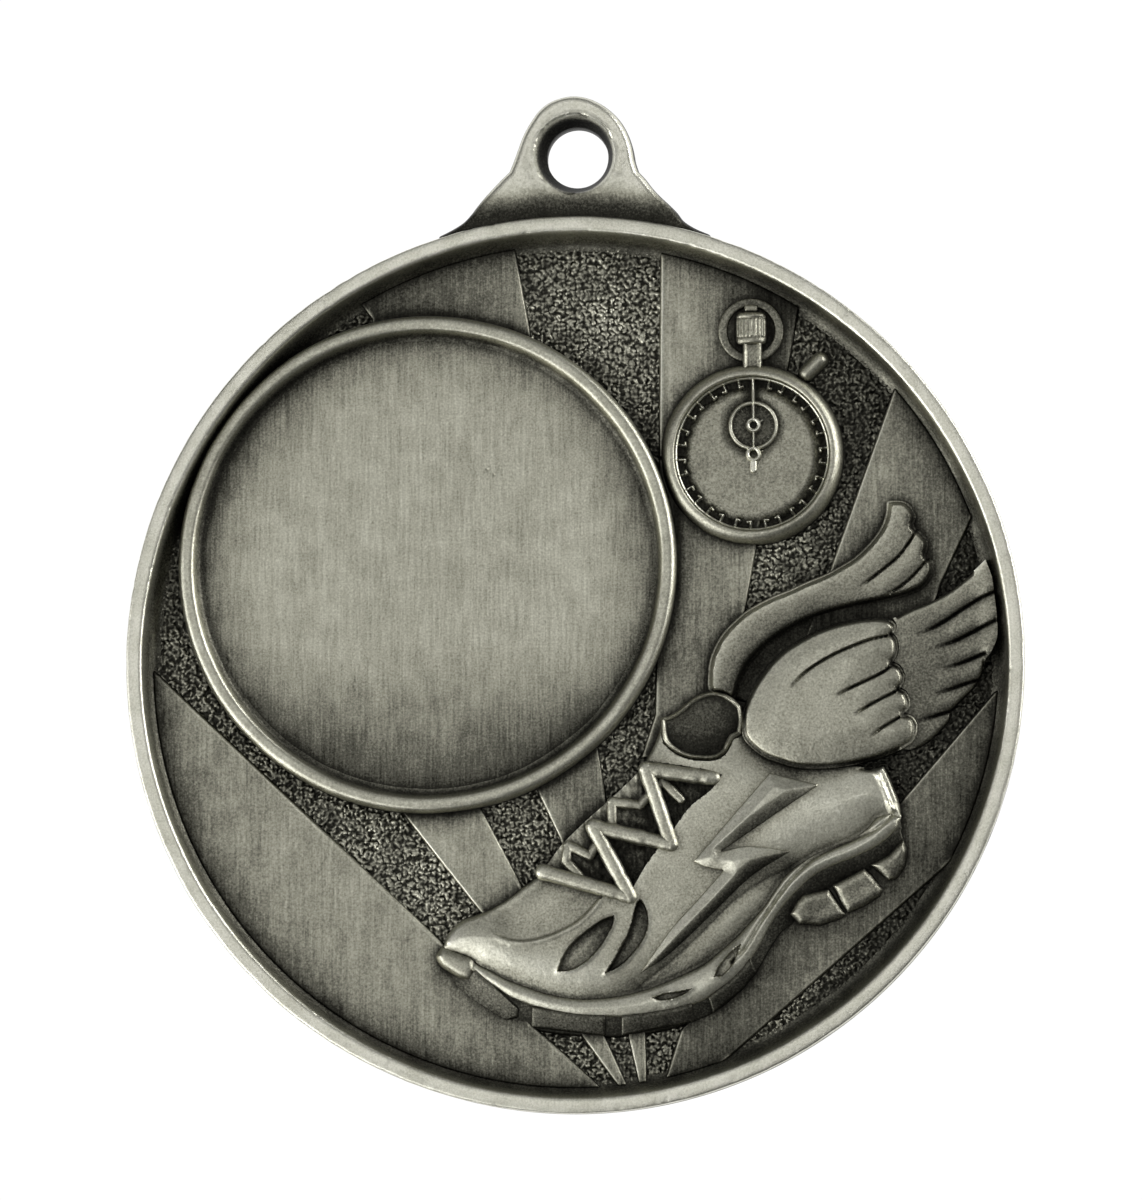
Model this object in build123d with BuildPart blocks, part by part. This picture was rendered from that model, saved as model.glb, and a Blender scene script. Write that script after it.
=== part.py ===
"""Finisher medal: one die casting, split at its visible features into solids that meet face to face.

Millimetres. The origin is on the hanger hole's axis at mid-thickness.
-Y is the decorated front, +Z points up through the hanger loop, +X is to the right seen from the front.
"""

import math
import os

from build123d import *

os.makedirs("parts", exist_ok=True)

# Overall sizes
MEDAL_R = 25.0
THICK = 3.2
HOLE_ABOVE_CENTRE = 28.5

# Heights above the back face
BASE_TOP = 1.5
GROUND_TOP = 1.8
RAY_TOP = 2.05
SEAT_TOP = 2.1
BEZEL_TOP = 2.9
LOOP_BACK, LOOP_FRONT = 0.3, 2.9

# Rim section
RIM_FIELD_R = 23.45
RIM_TOP_INNER_R = 24.3
RIM_EDGE = 0.25

# Hanger loop
LOOP_R = 3.4
HOLE_R = 1.66
HOLE_MOUTH_R = 2.25
HOLE_WALL_BACK, HOLE_WALL_FRONT = 0.55, 1.75

# Insert recess
BEZEL_X, BEZEL_Z = -8.21, 5.61
BEZEL_R = 13.95
RECESS_R = 12.75
SEAT_FOOT_R = 12.95
BEZEL_CREST_IN, BEZEL_CREST_OUT = 13.2, 13.65

# Stopwatch
WATCH_X, WATCH_Z = 9.92, 11.68
WATCH_R, WATCH_CREST_R, WATCH_DIAL_R = 5.08, 4.46, 4.3
MARKS = 30
SUBDIAL = (9.99, 13.27)
PIVOT_1 = (9.99, 13.30)
PIVOT_2 = (9.99, 11.67)
HAND_TIP_Z, HAND_TAIL_Z = 15.94, 10.64
BOW = (9.86, 18.62)
BOW_R, BOW_HOLE_R = 1.82, 1.28
PUSHER_A, PUSHER_B = (13.01, 16.30), (13.73, 16.97)

# Outlines in the face plane, measured from the disc centre. Each is a loop of runs that share end points.
SHOE_UPPER = [
    [(-7.21, -15.84), (-7.26, -15.45), (-7.12, -15.11), (-6.90, -14.78), (-6.57, -14.44),
     (-6.12, -14.16), (-5.51, -13.94), (-4.84, -13.66), (-4.12, -13.27), (-3.45, -12.82),
     (-2.90, -12.38), (-2.45, -12.07), (-1.84, -11.48), (-1.34, -10.82), (-0.78, -10.09),
     (-0.12, -9.48), (0.66, -8.64), (1.44, -7.97), (2.05, -7.41), (2.78, -6.74),
     (3.50, -5.96), (4.00, -5.18), (4.39, -4.46), (4.67, -3.73), (4.78, -3.03)],
    [(4.78, -3.03), (5.11, -2.98), (5.45, -3.06)],
    [(5.45, -3.06), (6.00, -2.73), (6.45, -2.31), (7.00, -1.94), (7.67, -1.75),
     (8.23, -1.83), (8.73, -2.11), (9.17, -2.50)],
    [(9.17, -2.50), (9.28, -3.40), (9.37, -4.12), (9.90, -4.79), (10.62, -5.29),
     (11.34, -5.57), (12.29, -5.85), (13.40, -5.93), (14.51, -5.88), (15.63, -5.79),
     (16.40, -5.88), (17.18, -5.71)],
    [(17.18, -5.71), (17.46, -6.24), (17.74, -6.91), (18.02, -7.58), (18.16, -8.19),
     (18.13, -8.64)],
    [(18.13, -8.64), (17.52, -8.42)],
    [(17.52, -8.42), (16.74, -8.70), (16.24, -9.25), (15.35, -9.87), (14.46, -10.20),
     (13.40, -10.65), (12.57, -11.15), (11.73, -11.82), (11.12, -12.66), (10.62, -13.44),
     (9.79, -14.39), (8.95, -15.28), (8.12, -16.00), (7.28, -16.67), (6.45, -17.12),
     (5.45, -17.57), (4.50, -17.96), (3.39, -18.29), (2.28, -18.51), (1.16, -18.63),
     (0.05, -18.63), (-1.34, -18.40), (-2.73, -17.96), (-3.84, -17.51), (-4.68, -17.06),
     (-5.34, -16.73), (-5.73, -16.39), (-6.35, -16.12), (-7.21, -15.84)],
]
FLASH = [
    [(10.85, -6.14), (13.57, -6.81)],
    [(13.57, -6.81), (8.18, -10.49)],
    [(8.18, -10.49), (9.62, -10.21), (12.01, -10.49)],
    [(12.01, -10.49), (9.90, -11.83), (7.84, -13.78), (6.45, -15.12), (5.06, -16.35),
     (3.67, -17.24)],
    [(3.67, -17.24), (5.34, -14.84), (7.01, -13.00), (8.29, -11.55)],
    [(8.29, -11.55), (7.34, -11.38), (6.62, -11.05)],
    [(6.62, -11.05), (10.85, -6.14)],
]
VENT1 = [
    [(-0.95, -17.12), (-0.73, -16.51), (-0.39, -15.89), (0.16, -15.28), (0.89, -14.72),
     (1.55, -14.27), (2.22, -14.02)],
    [(2.22, -14.02), (2.22, -14.39), (2.00, -14.89), (1.66, -15.50), (1.28, -16.00),
     (0.72, -16.56), (0.11, -16.95), (-0.50, -17.12), (-0.95, -17.12)],
]
VENT2 = [
    [(1.72, -17.23), (2.17, -16.51), (2.55, -15.84), (2.94, -15.11), (3.22, -14.27),
     (3.44, -13.44), (3.67, -13.10)],
    [(3.67, -13.10), (3.95, -13.49), (4.11, -14.05), (4.11, -14.61), (3.89, -15.28),
     (3.44, -15.95), (2.89, -16.56), (2.28, -17.01), (1.72, -17.23)],
]
LINING = [
    [(5.05, -3.20), (5.44, -3.12), (5.99, -2.78), (6.44, -2.39), (6.99, -2.03),
     (7.66, -1.83), (8.22, -1.92), (8.66, -2.17), (9.05, -2.50)],
    [(9.05, -2.50), (9.14, -3.20), (9.05, -3.81)],
    [(9.05, -3.81), (8.66, -3.98)],
    [(8.66, -3.98), (8.44, -4.37), (8.22, -4.82), (7.77, -5.10), (6.99, -5.13),
     (6.22, -4.99), (5.60, -4.65), (5.21, -4.21), (5.05, -3.20)],
]
COLLAR = [
    [(4.79, -3.04), (5.33, -2.84), (5.81, -2.54), (6.25, -2.16), (6.87, -1.75),
     (7.65, -1.53), (8.33, -1.63), (8.85, -1.92), (9.34, -2.37)],
    [(9.34, -2.37), (9.47, -3.22), (9.32, -4.03)],
    [(9.32, -4.03), (8.89, -4.24)],
    [(8.89, -4.24), (8.73, -4.54), (8.47, -5.06), (7.88, -5.43), (6.98, -5.47),
     (6.12, -5.31), (5.41, -4.92), (4.93, -4.36), (4.79, -3.04)],
]
THROAT = [
    [(-1.62, -11.37), (-0.79, -10.20), (0.66, -8.75), (2.05, -7.52), (3.50, -6.12),
     (4.11, -5.45)],
    [(4.11, -5.45), (7.00, -5.90), (8.23, -6.23)],
    [(8.23, -6.23), (7.67, -7.02), (6.45, -8.02), (5.22, -9.69), (4.22, -10.92),
     (3.00, -12.99)],
    [(3.00, -12.99), (1.72, -12.71), (0.05, -12.04), (-1.62, -11.37)],
]
MIDSOLE = [
    [(-5.74, -16.39), (-5.35, -16.73), (-4.68, -17.06), (-3.85, -17.51), (-2.73, -17.95),
     (-1.34, -18.40), (0.05, -18.62), (1.16, -18.62), (2.27, -18.51), (3.39, -18.29),
     (4.50, -17.95), (5.44, -17.56), (6.45, -17.12), (7.28, -16.67), (8.11, -16.00),
     (8.95, -15.27), (9.78, -14.38), (10.62, -13.43), (11.12, -12.65), (11.73, -11.81),
     (12.57, -11.15), (13.40, -10.64), (14.46, -10.20), (15.35, -9.86), (16.24, -9.25),
     (16.74, -8.69), (17.52, -8.41)],
    [(17.52, -8.41), (18.13, -8.63)],
    [(18.13, -8.63), (17.96, -9.25), (17.57, -9.69), (17.02, -10.14), (16.35, -10.53),
     (15.35, -10.98), (14.35, -11.37), (13.40, -11.87), (12.68, -12.48), (12.01, -13.15),
     (11.45, -13.82), (10.90, -14.66), (10.45, -15.50), (10.01, -16.28), (9.45, -17.06),
     (8.78, -17.73), (7.89, -18.40), (7.00, -18.90), (5.89, -19.24), (4.78, -19.46),
     (3.66, -19.63), (2.55, -19.71), (1.44, -19.71), (0.33, -19.66), (-0.79, -19.49),
     (-1.90, -19.24), (-2.73, -18.96), (-3.57, -18.62), (-4.35, -18.12), (-5.13, -17.56),
     (-5.68, -17.00)],
    [(-5.68, -17.00), (-5.74, -16.39)],
]
BUMPER = [
    [(-7.22, -15.83), (-6.35, -16.11), (-5.74, -16.39)],
    [(-5.74, -16.39), (-5.69, -17.00)],
    [(-5.69, -17.00), (-6.02, -17.45)],
    [(-6.02, -17.45), (-6.58, -17.17), (-7.08, -16.84), (-7.49, -16.50)],
    [(-7.49, -16.50), (-7.47, -16.11)],
    [(-7.47, -16.11), (-7.22, -15.83)],
]
SLOT1 = [
    [(7.73, -17.45), (7.95, -16.95), (8.34, -16.39), (8.78, -15.94), (9.23, -15.61)],
    [(9.23, -15.61), (9.00, -16.33), (8.67, -16.95), (8.23, -17.40)],
    [(8.23, -17.40), (7.73, -17.45)],
]
SLOT2 = [
    [(4.33, -18.57), (5.00, -18.34), (5.78, -18.23), (6.56, -18.06)],
    [(6.56, -18.06), (6.11, -18.40), (5.33, -18.68), (4.72, -18.73), (4.33, -18.57)],
]
OUTSOLE = [
    [(-6.03, -17.38), (-5.48, -16.88)],
    [(-5.48, -16.88), (-4.14, -17.72), (-1.91, -18.73), (1.43, -19.23), (4.77, -18.89),
     (6.99, -18.17), (8.94, -16.83), (10.17, -15.26), (11.73, -13.03), (13.68, -11.24),
     (16.18, -9.85), (17.46, -8.95), (18.07, -8.78)],
    [(18.07, -8.78), (18.30, -9.68), (18.58, -10.24), (18.58, -11.02), (18.13, -11.80),
     (17.74, -12.75), (16.79, -13.53), (15.46, -14.09), (14.68, -14.70), (13.23, -14.87),
     (12.28, -14.65), (11.62, -14.93), (10.89, -15.93), (10.17, -17.16), (9.33, -18.17),
     (8.22, -19.17), (6.99, -19.84), (5.32, -20.34), (3.65, -20.68), (1.71, -20.79),
     (-0.24, -20.68), (-1.91, -20.46), (-3.31, -20.07), (-4.70, -19.51), (-5.92, -18.78),
     (-6.81, -17.94), (-7.43, -17.05), (-7.51, -16.55)],
    [(-7.51, -16.55), (-7.09, -16.88), (-6.59, -17.22), (-6.03, -17.38)],
]
WING_REAR = [
    [(17.35, 9.07), (17.91, 9.12), (18.41, 9.04), (18.80, 8.73), (19.08, 8.12)],
    [(19.08, 8.12), (18.96, 7.61)],
    [(18.96, 7.61), (19.35, 7.28), (19.69, 6.83), (19.74, 6.33), (19.63, 6.00)],
    [(19.63, 6.00), (20.02, 5.66)],
    [(20.02, 5.66), (20.05, 5.05), (19.80, 4.49), (19.35, 4.04), (18.41, 3.65),
     (17.02, 3.32), (15.35, 2.98), (13.40, 2.42), (11.90, 1.70), (10.62, 0.80),
     (9.78, -0.14), (9.28, -1.09), (9.06, -1.82), (8.78, -2.15)],
    [(8.78, -2.15), (8.22, -1.85), (7.67, -1.76)],
    [(7.67, -1.76), (7.42, -1.43), (7.39, -0.59), (7.50, 0.25), (7.78, 0.97),
     (8.22, 1.70), (8.78, 2.31), (9.50, 2.93), (10.34, 3.43), (11.17, 3.82),
     (12.01, 4.15), (12.84, 4.54), (13.96, 4.99), (14.79, 5.44), (15.51, 5.88),
     (16.13, 6.44), (16.68, 7.06), (17.07, 7.67), (17.29, 8.34), (17.35, 9.07)],
]
COVERT = [
    [(17.91, 2.09), (17.91, 1.78), (17.77, 1.56)],
    [(17.77, 1.56), (17.96, 1.28), (18.04, 0.78), (17.96, 0.33), (17.77, -0.00)],
    [(17.77, -0.00), (18.13, -0.22), (18.41, -0.73)],
    [(18.41, -0.73), (18.35, -1.17), (18.16, -1.45)],
    [(18.16, -1.45), (18.46, -1.62)],
    [(18.46, -1.62), (18.68, -2.18), (18.63, -2.57), (18.41, -2.84)],
    [(18.41, -2.84), (18.80, -3.01), (19.07, -3.46)],
    [(19.07, -3.46), (19.02, -4.02), (18.80, -4.46), (18.24, -4.85), (17.46, -5.19),
     (16.57, -5.47), (15.63, -5.69), (14.51, -5.88), (13.40, -5.94), (12.29, -5.86),
     (11.34, -5.58), (10.62, -5.30), (9.90, -4.80), (9.37, -4.13), (9.29, -3.40),
     (9.34, -2.68), (9.56, -2.01), (9.90, -1.28), (10.34, -0.61), (10.90, 0.11),
     (11.62, 0.78), (12.40, 1.28), (13.23, 1.73), (14.24, 2.12), (15.35, 2.40),
     (16.35, 2.54), (17.02, 2.54), (17.57, 2.40), (17.91, 2.09)],
]
PRIMARIES = [
    [(17.74, 2.44), (18.69, 2.94), (19.80, 3.39), (20.91, 4.00), (22.03, 4.90),
     (22.86, 5.68)],
    [(22.86, 5.68), (23.20, 4.73), (23.36, 3.61), (23.48, 2.38), (23.48, 1.38),
     (23.14, 0.54), (22.81, 0.09), (22.75, -0.41), (22.53, -0.97), (22.19, -1.47),
     (21.69, -1.97), (21.30, -2.36), (20.97, -2.70), (20.86, -3.20), (20.36, -3.81),
     (19.69, -4.43), (18.97, -4.82), (18.24, -4.82)],
    [(18.24, -4.82), (18.80, -4.43), (19.02, -3.98), (19.08, -3.42)],
    [(19.08, -3.42), (18.80, -2.98), (18.41, -2.81)],
    [(18.41, -2.81), (18.63, -2.53), (18.69, -2.14), (18.46, -1.58)],
    [(18.46, -1.58), (18.16, -1.41)],
    [(18.16, -1.41), (18.35, -1.13), (18.41, -0.69)],
    [(18.41, -0.69), (18.13, -0.18), (17.77, 0.04)],
    [(17.77, 0.04), (17.96, 0.37), (18.05, 0.82), (17.96, 1.32), (17.77, 1.60)],
    [(17.77, 1.60), (17.91, 1.83), (17.91, 2.13), (17.74, 2.44)],
]
GR1 = [(16.01, 4.27), (17.02, 5.05), (18.07, 5.94), (18.69, 6.78), (19.08, 7.50)]
GR2 = [(17.24, 3.65), (18.41, 4.43), (19.30, 5.33), (19.80, 6.00)]
GC1 = [(12.07, -1.34), (12.57, -0.81), (13.23, -0.28), (14.24, 0.33), (15.35, 0.84), (16.46, 1.25), (17.79, 1.56)]
GC2 = [(14.62, -1.84), (15.35, -1.45), (16.35, -0.98), (17.24, -0.50), (17.79, -0.00)]
GC3 = [(15.63, -2.90), (16.40, -2.40), (17.24, -1.95), (18.18, -1.45)]
GC4 = [(16.52, -4.13), (17.07, -3.68), (17.79, -3.23), (18.46, -2.84)]
GP1 = [(19.13, 1.55), (20.36, 2.16), (21.47, 2.89), (22.58, 3.56), (23.31, 3.89)]
GP2 = [(20.08, 0.82), (21.19, 1.21), (22.31, 1.77), (23.42, 2.33)]
GP3 = [(20.58, -0.35), (21.69, 0.04), (22.81, 0.49)]
GP4 = [(20.13, -1.75), (21.25, -1.36), (22.42, -0.97)]
GP5 = [(19.13, -3.26), (20.02, -2.98), (20.91, -2.70)]
TOECAP = [(-5.23, -14.11), (-4.90, -14.61), (-4.40, -15.06), (-3.73, -15.39), (-3.01, -15.50), (-2.17, -15.42), (-1.34, -15.19), (-0.50, -14.83), (0.22, -14.41), (0.89, -13.80), (1.39, -13.21)]
LACE = [(7.73, -6.42), (4.01, -5.92), (5.40, -10.10), (1.06, -9.10), (3.12, -13.00), (-1.72, -11.61)]
LACE_REAR = [(5.89, -7.57), (4.89, -6.57), (3.66, -7.91), (2.11, -7.74), (2.11, -8.80), (0.88, -10.70), (-0.34, -10.14), (-0.45, -11.03), (0.77, -12.37)]
FLANK = [(3.67, -11.04), (5.22, -9.14), (6.45, -7.58), (7.34, -6.69)]
UPPER_LOW = [(3.67, -17.90), (5.34, -16.62), (7.00, -15.11), (8.67, -13.44), (10.62, -12.04), (12.01, -11.37)]
RAYS = [
    ("ray_lower_left", [(-24.98, 1.18), (-23.40, -0.32), (-7.56, -15.24), (4.09, -25.87), (-9.74, -29.89), (-28.69, -18.71), (-28.69, 5.89)]),
    ("ray_left", [(-10.02, -7.81), (-10.57, -7.08), (-5.84, -6.75), (-5.17, -8.03), (-2.94, -12.23), (-1.93, -14.24), (-4.16, -15.19), (-5.34, -13.74)]),
    ("ray_upper_left", [(-15.31, 28.81), (-4.16, 28.81), (-3.30, 23.28), (-2.44, 18.58), (-1.93, 15.39), (-11.30, 17.07), (-11.41, 19.42), (-12.53, 20.93), (-13.64, 22.66)]),
    ("ray_centre", [(-3.05, -5.07), (-0.88, -9.71), (0.02, -12.56), (2.41, -11.16), (1.77, -7.31), (0.91, -2.11)]),
    ("ray_watch_top", [(4.78, 23.05), (4.81, 26.02), (13.67, 26.02), (12.56, 19.75), (11.16, 11.76), (6.98, 11.76), (4.67, 12.60)]),
    ("ray_watch_foot", [(5.87, 10.36), (11.00, 10.36), (9.71, 3.93), (8.93, -0.82), (6.43, -5.29), (3.64, -5.29), (4.44, -2.78), (4.59, 0.86)]),
    ("ray_right", [(17.77, 15.28), (18.41, 17.07), (23.71, 11.48), (21.98, 7.68), (20.42, 4.38), (19.53, 1.42), (12.56, 0.86), (14.12, 5.05)]),
    ("ray_lower_right", [(23.26, -1.66), (25.38, -0.26), (24.82, -7.53), (20.19, -11.72), (8.77, -21.73), (4.09, -25.87), (5.87, -20.28), (18.13, -7.64)]),
    ("ray_tail_left", [(-0.26, -19.83), (1.58, -20.39), (4.09, -25.87)]),
    ("ray_tail_middle", [(2.86, -20.39), (3.97, -20.11), (4.09, -25.87)]),
]
TREADS = [
    [(-7.48, -16.49), (-6.81, -17.94), (-5.81, -18.73), (-3.86, -19.90), (-3.08, -19.67), (-3.03, -19.17), (-4.36, -17.89), (-5.81, -16.49)],
    [(-2.42, -19.00), (-2.47, -20.23), (1.76, -20.74), (1.82, -19.40)],
    [(2.54, -19.40), (2.54, -20.74), (6.66, -19.95), (6.60, -18.73)],
    [(7.33, -18.50), (7.66, -19.51), (9.33, -18.17), (10.17, -17.16), (9.78, -16.21)],
    [(12.17, -13.31), (12.73, -14.76), (13.23, -14.87), (14.68, -14.70), (15.40, -14.09), (14.07, -12.36)],
    [(14.29, -12.14), (15.51, -14.09), (16.79, -13.53), (17.80, -12.75), (16.13, -11.35)],
    [(16.35, -11.02), (17.96, -12.58), (18.41, -11.80), (18.58, -11.02), (18.58, -10.24), (18.30, -9.68), (17.91, -9.23), (16.91, -10.35)],
]
LACE_WIDTH = 0.78


def face_plane(height):
    """Plane at this height above the back face, x to the right, y up, normal to the front."""
    return Plane(
        origin=(0, THICK / 2 - height, -HOLE_ABOVE_CENTRE),
        x_dir=(1, 0, 0),
        z_dir=(0, -1, 0),
    )


def loop_face(runs):
    """Flat face bounded by a loop of runs: straight for two points, smooth for more."""
    with BuildSketch(Plane.XY) as flat:
        with BuildLine():
            for run in runs:
                if len(run) == 2:
                    Line(*run)
                else:
                    Spline(*run)
        make_face()
    return flat.sketch


def stroke_face(points, width):
    """Flat face of a round-ended stroke along a chain of points."""
    with BuildSketch(Plane.XY) as flat:
        for (ax, az), (bx, bz) in zip(points, points[1:]):
            length = math.hypot(bx - ax, bz - az)
            with Locations(((ax + bx) / 2, (az + bz) / 2)):
                SlotCenterToCenter(
                    length, width, rotation=math.degrees(math.atan2(bz - az, bx - ax))
                )
    return flat.sketch


def disc_face(x, z, r):
    with BuildSketch(Plane.XY) as flat:
        with Locations((x, z)):
            Circle(r)
    return flat.sketch


def poly_face(points):
    with BuildSketch(Plane.XY) as flat:
        with BuildLine():
            Polyline(*points, close=True)
        make_face()
    return flat.sketch


# Footprints of everything that stands on the field
field_disc = disc_face(0, 0, RIM_FIELD_R)
bezel_disc = disc_face(BEZEL_X, BEZEL_Z, BEZEL_R)
watch_disc = disc_face(WATCH_X, WATCH_Z, WATCH_R)
covert_face = loop_face(COVERT)
wing_rear_face = loop_face(WING_REAR) - covert_face
primaries_face = (loop_face(PRIMARIES) & field_disc) - covert_face
wings = [covert_face, wing_rear_face, primaries_face]
lace_face = stroke_face(LACE, LACE_WIDTH)
bumper_face = loop_face(BUMPER)
upper_all = loop_face(SHOE_UPPER) - covert_face - wing_rear_face
collar_outer = loop_face(COLLAR)
lining_face = loop_face(LINING) - covert_face - wing_rear_face
collar_face = collar_outer - loop_face(LINING) - covert_face - wing_rear_face - lace_face
throat_face = loop_face(THROAT) - collar_outer - lace_face
flash_face = loop_face(FLASH)
upper_face = (
    upper_all - collar_outer - loop_face(THROAT) - lace_face - flash_face - bumper_face
)
midsole_face = loop_face(MIDSOLE) - upper_all - bumper_face
outsole_all = loop_face(OUTSOLE) - loop_face(MIDSOLE) - upper_all - bumper_face
tread_blocks = [poly_face(block) for block in TREADS]
crown_face = poly_face(
    [(8.95, 17.95), (10.78, 17.95), (10.78, 19.3), (10.45, 19.62), (9.28, 19.62), (8.95, 19.3)]
)
stem_face = poly_face([(9.36, 16.5), (10.52, 16.5), (10.52, 17.95), (9.36, 17.95)]) - watch_disc
bow_face = disc_face(*BOW, BOW_R) - disc_face(*BOW, BOW_HOLE_R) - stem_face - crown_face - watch_disc
pusher_face = stroke_face([PUSHER_A, PUSHER_B], 0.74) - watch_disc
motifs = [
    *wings,
    upper_all,
    loop_face(MIDSOLE),
    loop_face(OUTSOLE),
    loop_face(THROAT),
    collar_outer,
    lace_face,
    bumper_face,
    bezel_disc,
    watch_disc,
    crown_face,
    stem_face,
    bow_face,
    pusher_face,
]


def largest(face, count=1):
    """The largest faces of a sketch that its neighbours have cut into several."""
    return sorted(face.faces(), key=lambda f: f.area, reverse=True)[:count]


def minus(face, others):
    for other in others:
        face = face - other
    return face


# Back half of the casting, up to the parting line, with the soft edge the back die leaves
with BuildPart() as back_plate:
    with BuildSketch(face_plane(0)):
        Circle(MEDAL_R)
    extrude(amount=BASE_TOP)
    fillet(back_plate.edges().sort_by(Axis.Y)[-1], 0.4)

# Rim: upright outer wall, flat crest with rounded edges, coved inner wall down to the field
with BuildPart() as raised_rim:
    with BuildSketch(Plane.XZ):
        with BuildLine():
            Line((RIM_FIELD_R, BASE_TOP), (MEDAL_R, BASE_TOP))
            Line((MEDAL_R, BASE_TOP), (MEDAL_R, THICK - RIM_EDGE))
            ThreePointArc(
                (MEDAL_R, THICK - RIM_EDGE),
                (MEDAL_R - RIM_EDGE * 0.293, THICK - RIM_EDGE * 0.293),
                (MEDAL_R - RIM_EDGE, THICK),
            )
            Line((MEDAL_R - RIM_EDGE, THICK), (RIM_TOP_INNER_R, THICK))
            ThreePointArc(
                (RIM_TOP_INNER_R, THICK),
                (RIM_TOP_INNER_R - 0.14, THICK - 0.06),
                (RIM_TOP_INNER_R - 0.2, THICK - 0.2),
            )
            ThreePointArc(
                (RIM_TOP_INNER_R - 0.2, THICK - 0.2),
                (23.86, 2.22),
                (RIM_FIELD_R, GROUND_TOP),
            )
            Line((RIM_FIELD_R, GROUND_TOP), (RIM_FIELD_R, BASE_TOP))
        make_face()
    revolve(axis=Axis.Z)
rim_local = raised_rim.part
raised_rim.part = face_plane(0).location * rim_local

# Hanger loop: eye with flared shoulders that run into the rim's wall
with BuildPart() as hanger_loop:
    with BuildSketch(face_plane(LOOP_BACK)):
        with Locations((0, HOLE_ABOVE_CENTRE)):
            Circle(LOOP_R)
        with BuildLine():
            Line((-3.28, 27.6), (3.28, 27.6))
            Spline((3.28, 27.6), (4.1, 27.1), (4.7, 26.52), (5.2, 25.92), (5.68, 25.28), (6.3, 24.7), (7.6, 24.05))
            Line((7.6, 24.05), (7.4, 22.5))
            Line((7.4, 22.5), (-7.4, 22.5))
            Line((-7.4, 22.5), (-7.6, 24.05))
            Spline((-7.6, 24.05), (-6.3, 24.7), (-5.68, 25.28), (-5.2, 25.92), (-4.7, 26.52), (-4.1, 27.1), (-3.28, 27.6))
        make_face()
        Circle(MEDAL_R, mode=Mode.SUBTRACT)
    extrude(amount=LOOP_FRONT - LOOP_BACK)
    with BuildSketch(face_plane(LOOP_BACK)):
        with Locations((0, HOLE_ABOVE_CENTRE)):
            Circle(HOLE_R)
    extrude(amount=LOOP_FRONT - LOOP_BACK, mode=Mode.SUBTRACT)
    with BuildSketch(face_plane(HOLE_WALL_FRONT)):
        with Locations((0, HOLE_ABOVE_CENTRE)):
            Circle(HOLE_R)
    with BuildSketch(face_plane(LOOP_FRONT)):
        with Locations((0, HOLE_ABOVE_CENTRE)):
            Circle(HOLE_MOUTH_R)
    loft(mode=Mode.SUBTRACT)
    with BuildSketch(face_plane(LOOP_BACK)):
        with Locations((0, HOLE_ABOVE_CENTRE)):
            Circle(HOLE_R + 0.25)
    with BuildSketch(face_plane(HOLE_WALL_BACK)):
        with Locations((0, HOLE_ABOVE_CENTRE)):
            Circle(HOLE_R)
    loft(mode=Mode.SUBTRACT)

# Sunk ground that carries the hammered texture between the rays
with BuildPart() as stippled_ground:
    with BuildSketch(face_plane(BASE_TOP)):
        Circle(RIM_FIELD_R)
    extrude(amount=GROUND_TOP - BASE_TOP)

# Recess for a round insert: a rolled ring around a flat seat
with BuildPart() as insert_bezel:
    with BuildSketch(Plane.XZ):
        with BuildLine():
            Polyline(
                (RECESS_R, SEAT_TOP),
                (SEAT_FOOT_R, GROUND_TOP),
                (BEZEL_R, GROUND_TOP),
                (BEZEL_R - 0.06, 2.55),
            )
            Spline(
                (BEZEL_R - 0.06, 2.55),
                (BEZEL_R - 0.14, 2.76),
                (BEZEL_CREST_OUT, 2.87),
                ((BEZEL_CREST_IN + BEZEL_CREST_OUT) / 2, BEZEL_TOP),
                (BEZEL_CREST_IN, 2.86),
                (RECESS_R + 0.2, 2.7),
                (RECESS_R, 2.5),
            )
            Line((RECESS_R, 2.5), (RECESS_R, SEAT_TOP))
        make_face()
    revolve(axis=Axis.Z)
bezel_local = Pos(BEZEL_X, BEZEL_Z, 0) * insert_bezel.part
insert_bezel.part = (face_plane(0).location * bezel_local) - raised_rim.part

with BuildPart() as insert_seat:
    with BuildSketch(Plane.XZ):
        Polygon(
            (0, GROUND_TOP),
            (SEAT_FOOT_R, GROUND_TOP),
            (RECESS_R, SEAT_TOP),
            (0, SEAT_TOP),
            align=None,
        )
    revolve(axis=Axis.Z)
insert_seat.part = face_plane(0).location * (
    Pos(BEZEL_X, BEZEL_Z, 0) * insert_seat.part
)

# Raised smooth rays of the sunburst, each cut away where a motif or the recess stands on it
ray_parts = {}
for ray_name, ray_points in RAYS:
    panel = minus(poly_face(ray_points) & field_disc, motifs)
    with BuildPart() as ray:
        with BuildSketch(face_plane(GROUND_TOP)):
            add(largest(panel))
        extrude(amount=RAY_TOP - GROUND_TOP)
    ray_parts[ray_name] = ray

# Stopwatch: case ring with a sloped flank and a narrow crest
with BuildPart() as watch_case:
    with BuildSketch(Plane.XZ):
        with BuildLine():
            Polyline(
                (WATCH_DIAL_R, GROUND_TOP),
                (WATCH_R, GROUND_TOP),
                (WATCH_R - 0.1, 2.0),
                (WATCH_CREST_R + 0.12, 2.66),
                (WATCH_CREST_R, 2.72),
                (WATCH_CREST_R - 0.1, 2.7),
                (WATCH_DIAL_R, 2.5),
                close=True,
            )
        make_face()
    revolve(axis=Axis.Z)
watch_case.part = face_plane(0).location * (Pos(WATCH_X, WATCH_Z, 0) * watch_case.part)

with BuildPart() as watch_dial:
    with BuildSketch(face_plane(GROUND_TOP)):
        with Locations((WATCH_X, WATCH_Z)):
            Circle(WATCH_DIAL_R)
    extrude(amount=0.35)

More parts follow.
